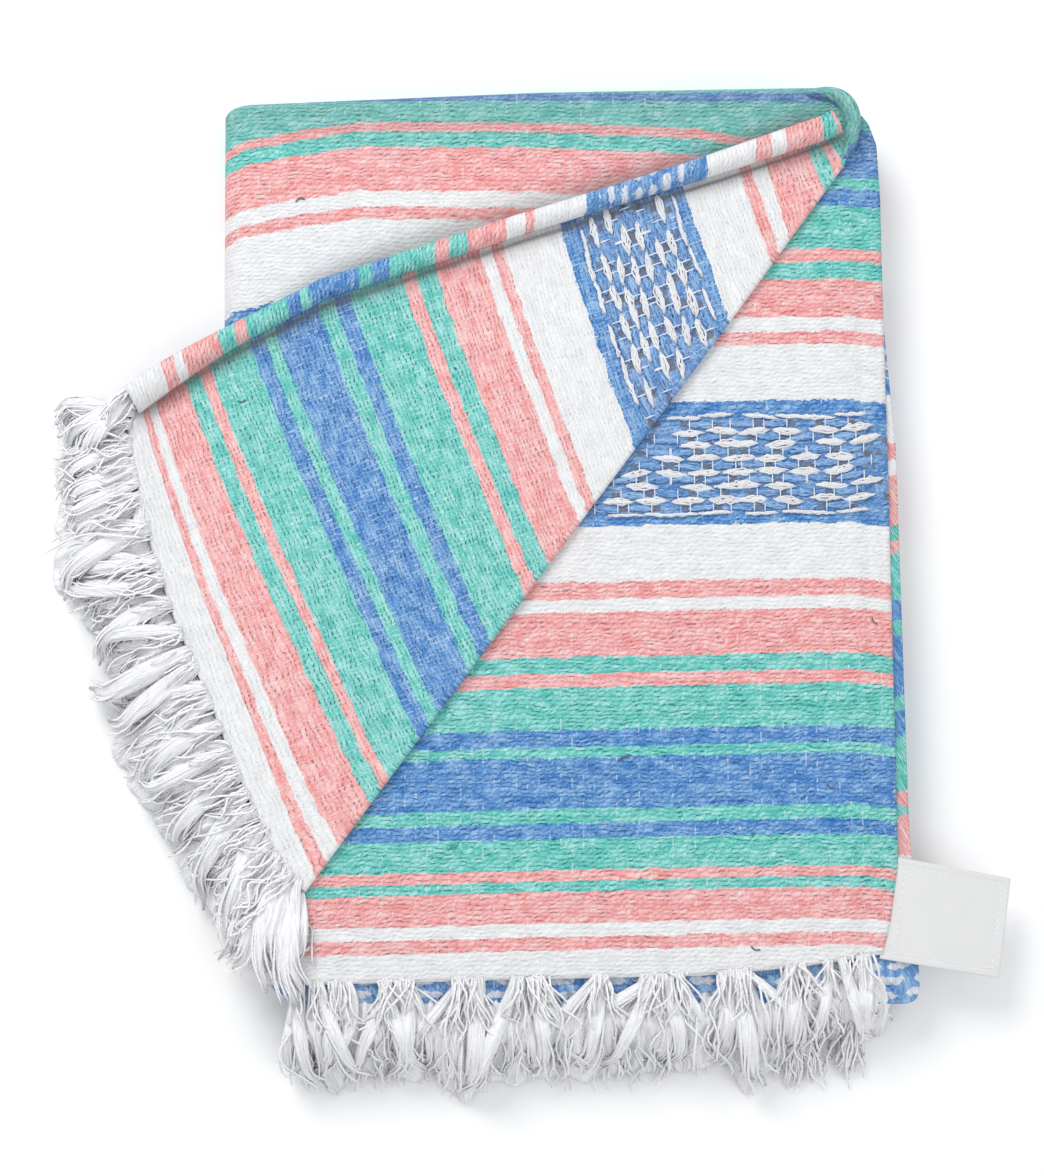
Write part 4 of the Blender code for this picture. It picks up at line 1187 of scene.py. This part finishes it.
def lock_spines(hem, locks, height_of, steps, rise):
    """Each lock's middle line: a curve with four handles, drawn off the hem. rise is its height over the mat."""
    if not locks:
        return np.zeros((0, steps, 3))
    share = np.linspace(0, 1, steps)[None, :]
    root, near, far, tip, reach = (np.array([lock[column] for lock in locks], float)[:, None] for column in range(5))
    aside = 3 * (1 - share) ** 2 * share * near + 3 * (1 - share) * share**2 * far + share**3 * tip
    hook = smooth((share - 0.72) / 0.28) ** 1.5
    aside = aside + np.where(tip < far, -1, 1) * hook * 5
    plan, place = off_hem(hem, root[:, 0], reach * (share - 0.10 * hook), aside)
    z = height_of(plan, share, np.full(root.shape, 0.5), root) + rise * np.sin(np.minimum(share * 1.25, 1) * math.pi * 0.8)
    return np.concatenate([plan, z[..., None]], axis=-1)


def off_hem(hem, place, out, aside):
    """Plan points at distances out from the hem and aside along it, from places on it."""
    root = np.stack([np.interp(place, hem.place, hem.points[:, axis]) for axis in (0, 1)], axis=-1)
    away = np.stack([np.interp(place, hem.place, hem.outward[:, axis]) for axis in (0, 1)], axis=-1)
    run = np.stack([-away[:, 1], away[:, 0]], axis=-1)
    return root[:, None, :] + away[:, None, :] * out[..., None] + run[:, None, :] * aside[..., None], place


def lock_bodies(spines, widths, dice, sides=18):
    """Each lock's matted middle: a flattened tube, narrow at its root, with ridges that wind slowly round it."""
    count, steps = spines.shape[:2]
    share = np.linspace(0, 1, steps)[None, :, None]
    run = np.gradient(spines, axis=1)
    run /= np.linalg.norm(run, axis=2, keepdims=True)
    side = np.cross(run, (0.0, 0.0, 1.0))
    side /= np.linalg.norm(side, axis=2, keepdims=True)
    over = np.cross(side, run)
    around = (np.arange(sides)[None, None, :] / sides - 0.25) * TURN
    wide = np.array(widths, float)[:, None, None]
    wind = dice.uniform(-1, 1, (count, 1, 1)) * share * 4 + dice.uniform(0, TURN, (count, 1, 1))
    ridge = 1 + 0.16 * np.cos(5 * around + wind) + 0.09 * np.cos(9 * around - 1.6 * wind)
    swell = (0.5 + 0.5 * np.sin(np.minimum(share * 1.1, 1) * math.pi) ** 0.7) * (1 - 0.75 * share**5)
    reach = wide * 0.44 * swell * ridge
    points = spines[:, :, None, :] + side[:, :, None, :] * (reach * np.cos(around))[..., None]
    points = points + over[:, :, None, :] * (reach * 0.5 * np.sin(around))[..., None]
    index = np.arange(count * steps * sides).reshape(count, steps, sides)
    turned = np.roll(index, -1, axis=2)
    quads = np.stack([index[:, :-1], turned[:, :-1], turned[:, 1:], index[:, 1:]], axis=-1).reshape(-1, 4)
    caps = np.concatenate([index[:, 0, ::-1], index[:, -1]])
    travelled = np.cumsum(np.linalg.norm(np.diff(spines, axis=1, prepend=spines[:, :1]), axis=2), axis=1)
    number = np.arange(count)[:, None, None] * 3.7
    values = np.stack(np.broadcast_arrays(travelled[..., None], around / TURN * wide * 2.3, number), axis=-1)
    return points.reshape(-1, 3), quads.tolist() + caps.tolist(), values.reshape(-1, 3)


def lock_yarns(spines, widths, yarn, dice):
    """The yarns of some locks. They stand in a flattened ring round the spine, and wind slowly round it."""
    steps = spines.shape[1]
    share = np.linspace(0, 1, steps)[None, :]
    made = []
    for spine, width in zip(spines, widths):
        count = max(int(1.15 * width / yarn), 4)
        run = np.gradient(spine, axis=0)
        run /= np.linalg.norm(run, axis=1, keepdims=True)
        side = np.cross(run, (0, 0, 1))
        side /= np.linalg.norm(side, axis=1, keepdims=True)
        over = np.cross(side, run)
        turn = (np.arange(count)[:, None] / count + dice.uniform(-0.5, 0.5) * share) * TURN
        swell = 0.62 + 0.36 * np.sin(share * math.pi) + 0.45 * share**3
        reach = (width - yarn) / 2 * swell * dice.uniform(0.7, 1.0, (count, 1))
        stray = dice.normal(0, 2.6, (count, 1)) * share**2.2
        stray = stray + dice.normal(0, 0.35, (count, 1)) * np.sin(share * dice.uniform(4, 9, (count, 1)))
        across = reach * np.cos(turn) + stray
        up = reach * np.sin(turn) * 0.45 + dice.normal(0, 0.25, (count, 1)) * share
        path = spine[None] + side[None] * across[..., None] + over[None] * up[..., None]
        length = dice.uniform(0.86, 1.0, count)
        at = length[:, None] * share * (steps - 1)
        low = np.minimum(at.astype(int), steps - 2)
        part = (at - low)[..., None]
        rows = np.arange(count)[:, None]
        made.append(path[rows, low] * (1 - part) + path[rows, low + 1] * part)
    return np.concatenate(made)


def fluff(hem, reach_of, height_of, first, columns=360, rows=26):
    """A thin mat of loose cotton beneath the locks, with its own scalloped edge and a ribbed top. It starts
    at a first distance off the hem, so the fringe stays open there."""
    place = np.linspace(hem.place[0], hem.place[-1], columns)
    share = np.linspace(0, 1, rows)[None, :]
    reach = (reach_of(place) - 3 + 1.5 * np.sin(place / 4.1) + np.sin(place / 1.9))[:, None]
    sway = 5 * np.sin(place / 23 + 1)[:, None] * share + 2.5 * np.sin(place[:, None] / 9 + share * 5) * share
    sway = sway + 14 * (1 - smooth(place / 20))[:, None] * share
    away = first + (reach - first) * share
    plan, _ = off_hem(hem, place, away, sway)
    top = height_of(plan, share, np.full((columns, 1), 0.55), place[:, None])
    ribs = 0.7 * np.sin(place[:, None] / 0.62 + 6 * share) + 0.9 * np.sin(place[:, None] / 1.7 - 5 * share)
    top = np.maximum(top - 0.6 + ribs * np.minimum(share * 6, 1) * (1 - share**6), 0.5)
    under = np.minimum(top - 0.4, np.maximum(top * 0.5, 0.1))
    values = np.stack(np.broadcast_arrays(away, place[:, None], 0.5), axis=-1)
    return np.concatenate([plan, top[..., None]], axis=-1), np.concatenate([plan, under[..., None]], axis=-1), values


def scattered_locks(dice, count, first, last, reach_of, width, lean, heads):
    """Locks at random places, each drawn some way left or right, and rooted with the nearest of the heads."""
    place = np.sort(dice.uniform(first, last, count))
    root = np.clip(near_heads(place, heads, dice), first, last)
    sway = dice.normal(0, lean, (count, 3)).cumsum(axis=1) * 0.6 + (place - root)[:, None] * (0.35, 0.85, 1.0)
    sway = np.clip(sway, first - 6 - root[:, None], last + 6 - root[:, None])
    reach = read(reach_of, place) * dice.uniform(0.72, 0.98, count)
    wide = dice.uniform(0.7, 1.2, count) * width
    return [Lock(*row) for row in np.column_stack([root, sway, reach, wide])]


def add_fringe(name, paths, width, sides=3):
    points, faces, values = yarn_tubes(paths, width, sides=sides)
    finish = material("cotton_yarn", cotton_material)
    return add_piece(name + "_yarns", points, faces, "strand", values, finish, (name,))


def add_locks(name, hem, low, high, loose, height_of, dice):
    """The low locks and the high locks over them, as bodies, and all the yarns round and between them."""
    yarn = sizes().yarn_width
    spines = np.concatenate([lock_spines(hem, low, height_of, 16, 0.5), lock_spines(hem, high, height_of, 16, 4.0)])
    widths = [lock.width for lock in (*low, *high)]
    points, faces, values = lock_bodies(spines, widths, dice)
    add_piece(name + "_locks", points, faces, "strand", values, material("matted_cotton", matted_material))
    return np.concatenate([loose, lock_yarns(spines, widths, yarn, dice)])


def add_fluff(name, top, under, values):
    columns, rows = top.shape[:2]
    points = np.concatenate([top.reshape(-1, 3), under.reshape(-1, 3)])
    doubled = np.concatenate([values.reshape(-1, 3)] * 2)
    finish = material("matted_cotton", matted_material)
    return add_piece(name + "_fluff", points, wall_quads(columns, rows), "strand", doubled, finish)


def front_fringe(dice):
    x = np.linspace(-110, 167, 200)
    hem = hem_line(np.stack([x, read(FRONT_PANEL_END, x) + 1.5], axis=-1))

    def length(place):
        return read(FRONT_REACH, place - 110) * 0.93

    def height_of(plan, share, pile, place):
        edge = np.clip(plan[:, :1, 0], -109, 166)
        top = STACK_HEIGHT - WALL - GAP - WALL / 2 + settle(edge, plan[:, :1, 1])
        fall = top + (1.2 - top) * share**2.6
        lift = (pile - 0.5) * 5.5 * smooth(share / 0.15) + 2.2 * np.sin(share * 9 + pile * 30)
        return np.maximum(fall + lift, 0.8 + pile * 3.5)

    high = [lock._replace(root=lock.root + 110) for lock in FRONT_LOCKS]
    heads = [lock.root for lock in high]
    reach = [Edge(row.along + 110, row.place) for row in FRONT_REACH]
    low = scattered_locks(dice, 60, 3, 274, reach, 6.0, 7.5, heads)
    loose = fringe_paths(hem, 340, length, height_of, 16, dice, pull=0.0, heads=heads, lively=1.25)[0]
    add_fluff("front_fringe", *fluff(hem, lambda place: read(reach, place), height_of, 6.5))
    return add_locks("front_fringe", hem, low, high, loose, height_of, dice)


def layer_fringe(dice, root_z, reach, count):
    x = np.linspace(-106, 163, 100)
    hem = hem_line(np.stack([x, np.full(100, -190.2)], axis=-1))

    def length(place):
        return reach + 4 * np.sin(place / 17)

    def height_of(plan, share, pile, place):
        fall = root_z + (1.2 - root_z) * share**1.6
        return np.maximum(fall + (pile - 0.5) * 3 * smooth(share / 0.2), 0.7 + pile * 1.5)

    return fringe_paths(hem, count, length, height_of, 9, dice, lively=0.7)[0]


def flap_fringe(dice):
    hem = hem_line(arc_points((ROLL_END_TOP, *reversed(FLAP_END)), np.linspace(0, 0.985, 210)))
    hem = hem._replace(points=hem.points - hem.outward * 1.5)
    reach = [Edge(row.along + HEM_LEAD, row.place) for row in FLAP_REACH]

    def length(place):
        return read(reach, place) * 0.93

    def height_of(plan, share, pile, place):
        top = flap_height(plan[:, :1, 0], plan[:, :1, 1]) + WALL / 2 + 5 * (1 - smooth(place / 14))
        fall = top + (1.2 - top) * share**1.9
        outside = read(LEFT_EDGE, plan[..., 1]) - plan[..., 0]
        over = STACK_HEIGHT + 3.4 - np.maximum(outside + 8, 0) ** 2 / 24
        hang = np.maximum(fall, np.minimum(over, top))
        lift = (pile - 0.3) * 5 * smooth(share / 0.15) + 1.6 * np.sin(share * 8 + pile * 30)
        return np.maximum(hang + lift, 0.8 + pile * 3)

    high = [lock._replace(root=lock.root + HEM_LEAD) for lock in FLAP_LOCKS if lock.root + HEM_LEAD < hem.place[-1]]
    heads = [lock.root for lock in high]
    low = scattered_locks(dice, 80, 12, hem.place[-1] - 1, reach, 6.5, 8.0, heads)
    loose = fringe_paths(hem, 400, length, height_of, 16, dice, pull=0.0, heads=heads, lively=1.1, drift=18.0)[0]
    add_fluff("turned_corner_fringe", *fluff(hem, lambda place: read(reach, place), height_of, 2.0))
    return add_locks("turned_corner_fringe", hem, low, high, loose, height_of, dice)


def upper_fringe(dice):
    """The top layer's own end fringe, which hangs over the packet's left edge beside the turned corner."""
    x = np.linspace(-124, -103.5, 40)
    hem = hem_line(np.stack([x, np.full(40, UPPER_PANEL_END + 1.0)], axis=-1))

    def length(place):
        return np.full(np.shape(place), 40.0)

    def height_of(plan, share, pile, place):
        outside = np.maximum(read(LEFT_EDGE, UPPER_PANEL_END) + 8 - plan[..., 0], 0)
        return STACK_HEIGHT - 1.5 + pile * 2.5 - outside**2 / 20 + 1.2 * np.sin(share * 7 + pile * 20)

    locks = [
        Lock(0.5, -9, -14, -17, 36, 8), Lock(4, -7, -9, -12, 41, 9), Lock(8, -4, -7, -3, 39, 8),
        Lock(12, -3, 1, -4, 42, 9), Lock(16, 0, -3, -2, 40, 8), Lock(19.5, 1, 2, -1, 38, 7),
    ]
    loose = fringe_paths(hem, 90, length, height_of, 16, dice, bunch=14.0, pull=0.4)[0]
    return add_locks("upper_fringe", hem, [], locks, loose, height_of, dice)


Stray = namedtuple("Stray", "x y layer length turn kind")

# Odd threads and slubs caught in the weave. kind 0 is dark, 1 green and 2 coral
STRAYS = (
    Stray(110, -172, "front", 4.5, 2.8, 0), Stray(169.5, -16, "front", 4, 2.2, 0), Stray(49, -83, "front", 5, 0.2, 0),
    Stray(-33, -125, "front", 5, 0.4, 1), Stray(81, -18, "front", 5, 0.1, 2), Stray(147, -96, "front", 4, 2.6, 0),
    Stray(-136, 91, "corner", 4, 3.3, 0), Stray(-109, 192, "upper", 5, 0.2, 0),
)


def stray_paths():
    """A short bent thread at each stray's place, just above the layer that it lies on."""
    share = np.linspace(-0.5, 0.5, 9)
    paths = []
    for stray in STRAYS:
        bend = 0.22 * stray.length * np.cos(share * math.pi) * (1 if stray.kind == 0 else 0.2)
        x = stray.x + stray.length * share * math.cos(stray.turn) - bend * math.sin(stray.turn)
        y = stray.y + stray.length * share * math.sin(stray.turn) + bend * math.cos(stray.turn)
        top = STACK_HEIGHT + settle(x, y) - (WALL + GAP if stray.layer == "front" else 0)
        if stray.layer == "corner":
            top = flap_height(x, y) + WALL
        paths.append(np.stack([x, y, top + 0.35], axis=-1))
    return np.array(paths)


# Operators


class BLANKET_OT_stage(bpy.types.Operator):
    """Lays a pale floor, sets soft lights over it and stands the camera nearly overhead"""

    bl_idname = "blanket.stage"
    bl_label = "Floor, lights and camera"

    def execute(self, context):
        scene = context.scene
        bpy.ops.mesh.primitive_plane_add(size=6, location=(0, 0, -0.0004))
        floor = context.active_object
        floor.name = "pale_floor"
        dyer = Dyer("pale_floor", 0.6)
        grain = dyer.noise(*dyer.node("ShaderNodeSeparateXYZ", None, {0: dyer.node("ShaderNodeTexCoord")[3]}))
        tone = dyer.between(grain, 0.2, 0.8, 0.95, 0.97)
        floor.data.materials.append(dyer.finish(dyer.grey(tone), grain, 0.0))
        world = bpy.data.worlds.new("studio")
        scene.world = world
        world.use_nodes = True
        background = world.node_tree.nodes["Background"]
        background.inputs["Color"].default_value = (0.97, 0.985, 1.0, 1)
        background.inputs["Strength"].default_value = 0.72
        for name, place, size, power in (
            ("window_light", (-0.75, 1.25, 1.55), 1.1, 22.0),
            ("fill_light", (1.3, -0.9, 1.9), 1.8, 10.0),
        ):
            light = bpy.data.lights.new(name, "AREA")
            light.shape = "DISK"
            light.size = size
            light.energy = power
            lamp = bpy.data.objects.new(name, light)
            scene.collection.objects.link(lamp)
            lamp.location = place
            lamp.rotation_euler = (Vector((0, 0, 0)) - Vector(place)).to_track_quat("-Z", "Y").to_euler()
        target = (np.array([0.0, 0.0, 30.0]) + SHIFT) * MM
        away = 1.23
        slope = math.radians(81)
        eye = Vector(target) + Vector((0, -away * math.cos(slope), away * math.sin(slope)))
        lens = bpy.data.cameras.new("overhead")
        lens.lens = 78.04
        lens.sensor_width = 36
        camera = bpy.data.objects.new("overhead", lens)
        scene.collection.objects.link(camera)
        camera.location = eye
        camera.rotation_euler = (Vector(target) - eye).to_track_quat("-Z", "Y").to_euler()
        scene.camera = camera
        scene.view_settings.view_transform = "Standard"
        scene.view_settings.look = "None"
        return {"FINISHED"}


class BLANKET_OT_layers(bpy.types.Operator):
    """Makes the hidden layers, whose rounded edges show at the sides"""

    bl_idname = "blanket.layers"
    bl_label = "Hidden layers"

    def execute(self, context):
        points, faces, values = hidden_layers()
        finish = material("rolled_weave", painted_weave_material)
        add_piece("folded_layers_cloth", points, faces, "cloth", values, finish, ("folded_layers",))
        return {"FINISHED"}


class BLANKET_OT_panels(bpy.types.Operator):
    """Makes the two cloth faces at the top of the packet"""

    bl_idname = "blanket.panels"
    bl_label = "Top panels"

    def execute(self, context):
        front = add_cloth("front_cloth", *front_cloth(), ("front_panel",))
        upper = add_cloth("upper_cloth", *upper_cloth(), ("upper_panel",))
        return {"FINISHED"}


class BLANKET_OT_corner(bpy.types.Operator):
    """Makes the turned corner and the selvage rolled up along it"""

    bl_idname = "blanket.corner"
    bl_label = "Turned corner"

    def execute(self, context):
        turned = add_cloth("turned_cloth", *turned_cloth(), ("turned_corner",), "slack_weave", slack_weave_material)
        hood = add_cloth("corner_hood", *hood_cloth(), ())
        rolled = add_cloth("rolled_cloth", *rolled_cloth(), ("rolled_selvage",), "rolled_weave", painted_weave_material)
        return {"FINISHED"}


class BLANKET_OT_floats(bpy.types.Operator):
    """Makes the lens-shaped floats of the diamond bands"""

    bl_idname = "blanket.floats"
    bl_label = "Diamond floats"

    def execute(self, context):
        dice = np.random.default_rng(sizes().seed + 1)
        finish = material("float_yarn", float_material)
        pale = material("cotton_yarn", cotton_material)
        front, flap = open_floats()
        for name, centres, place_of in (("front", front, front_place), ("corner", flap, flap_place)):
            points, faces, values = yarn_tubes(*float_strands(centres, place_of, dice), sides=5)
            add_piece(name + "_floats", points, faces, "strand", values, finish)
            points, faces, values = yarn_tubes(warp_ticks(centres, place_of), 0.75)
            add_piece(name + "_warp", points, faces, "strand", values, pale)
        return {"FINISHED"}


class BLANKET_OT_strays(bpy.types.Operator):
    """Makes the odd threads and slubs that stand out of the weave"""

    bl_idname = "blanket.strays"
    bl_label = "Odd threads"

    def execute(self, context):
        kinds = np.array([stray.kind for stray in STRAYS], float)
        points, faces, values = yarn_tubes(stray_paths(), 0.7, ids=kinds, sides=6)
        finish = material("odd_thread", odd_thread_material)
        add_piece("odd_threads", points, faces, "strand", values, finish)
        return {"FINISHED"}


class BLANKET_OT_fringes(bpy.types.Operator):
    """Makes the cotton fringes of all the ends that show"""

    bl_idname = "blanket.fringes"
    bl_label = "Fringes"

    def execute(self, context):
        dice = np.random.default_rng(sizes().seed)
        width = sizes().yarn_width
        add_fringe("front_fringe", front_fringe(dice), width)
        add_fringe("middle_fringe", layer_fringe(dice, 17.6, 44, 420), width)
        add_fringe("base_fringe", layer_fringe(dice, 2.4, 40, 300), width)
        add_fringe("turned_corner_fringe", flap_fringe(dice), width)
        add_fringe("upper_fringe", upper_fringe(dice), width)
        return {"FINISHED"}


class BLANKET_OT_label(bpy.types.Operator):
    """Makes the blank label sewn to the selvage"""

    bl_idname = "blanket.label"
    bl_label = "Label"

    def execute(self, context):
        across = np.linspace(0, 1, 90)[:, None, None]
        down = np.linspace(0, 1, 76)[None, :, None]
        corner = np.array(LABEL_CORNERS, float)
        top = corner[0] + (corner[1] - corner[0]) * across
        bottom = corner[3] + (corner[2] - corner[3]) * across
        plan = top + (bottom - top) * down
        edge = read(CORE_RIGHT_EDGE, plan[..., 1])
        out = np.maximum(plan[..., 0] - edge, 0) / (LABEL_CORNERS[1].x - edge)
        base = CORE_HEIGHT + GAP + settle(np.minimum(plan[..., 0], edge - 7), plan[..., 1])
        z = base - LABEL_DROOP * out**1.6
        under = np.concatenate([plan, z[..., None]], axis=-1)
        border = np.minimum(np.minimum(across, 1 - across) * 57, np.minimum(down, 1 - down) * 48)[..., 0]
        over = under + np.stack([0 * border, 0 * border, 0.9 - 0.35 * smooth((border - 2.2) / 0.8)], axis=-1)
        values = np.concatenate([np.broadcast_to(across * 52, plan.shape[:2] + (1,)),
                                 np.broadcast_to(down * 48, plan.shape[:2] + (1,)), 0 * z[..., None]], axis=-1)
        points = np.concatenate([over.reshape(-1, 3), under.reshape(-1, 3)])
        doubled = np.concatenate([values.reshape(-1, 3)] * 2)
        label = add_piece("label_tape", points, [face[::-1] for face in wall_quads(90, 76)], "cloth", doubled,
                          material("label_tape", tape_material), ("label",))
        seam = np.concatenate([over[10:84, 6], over[83, 6:70], over[10:84, 69][::-1], over[10, 6:70][::-1]])
        starts = np.arange(0, len(seam) - 4, 5)
        paths = seam[starts[:, None] + np.arange(4)] + (0, 0, 0.05)
        points, faces, values = yarn_tubes(paths, 0.5, sides=5)
        add_piece("label_stitches", points, faces, "strand", values, material("cotton_yarn", cotton_material))
        return {"FINISHED"}


OPERATORS = (
    BLANKET_OT_stage,
    BLANKET_OT_layers,
    BLANKET_OT_panels,
    BLANKET_OT_corner,
    BLANKET_OT_floats,
    BLANKET_OT_strays,
    BLANKET_OT_fringes,
    BLANKET_OT_label,
)


class BLANKET_PT_panel(bpy.types.Panel):
    """Lists the blanket's sizes, colours and pieces"""

    bl_idname = "BLANKET_PT_panel"
    bl_label = "Blanket"
    bl_space_type = "VIEW_3D"
    bl_region_type = "UI"
    bl_category = "Blanket"

    def draw(self, context):
        for group in (context.scene.blanket_sizes, context.scene.blanket_colours):
            for name in group.__annotations__:
                self.layout.prop(group, name)
        for operator in OPERATORS:
            self.layout.operator(operator.bl_idname)


CLASSES = (BlanketSizes, BlanketColours, *OPERATORS, BLANKET_PT_panel)


def register():
    for kind in CLASSES:
        bpy.utils.register_class(kind)
    bpy.types.Scene.blanket_sizes = PointerProperty(type=BlanketSizes)
    bpy.types.Scene.blanket_colours = PointerProperty(type=BlanketColours)


def unregister():
    del bpy.types.Scene.blanket_colours
    del bpy.types.Scene.blanket_sizes
    for kind in reversed(CLASSES):
        bpy.utils.unregister_class(kind)


def main():
    register()
    for operator in OPERATORS:
        group, name = operator.bl_idname.split(".")
        getattr(getattr(bpy.ops, group), name)()


if __name__ == "__main__":
    main()
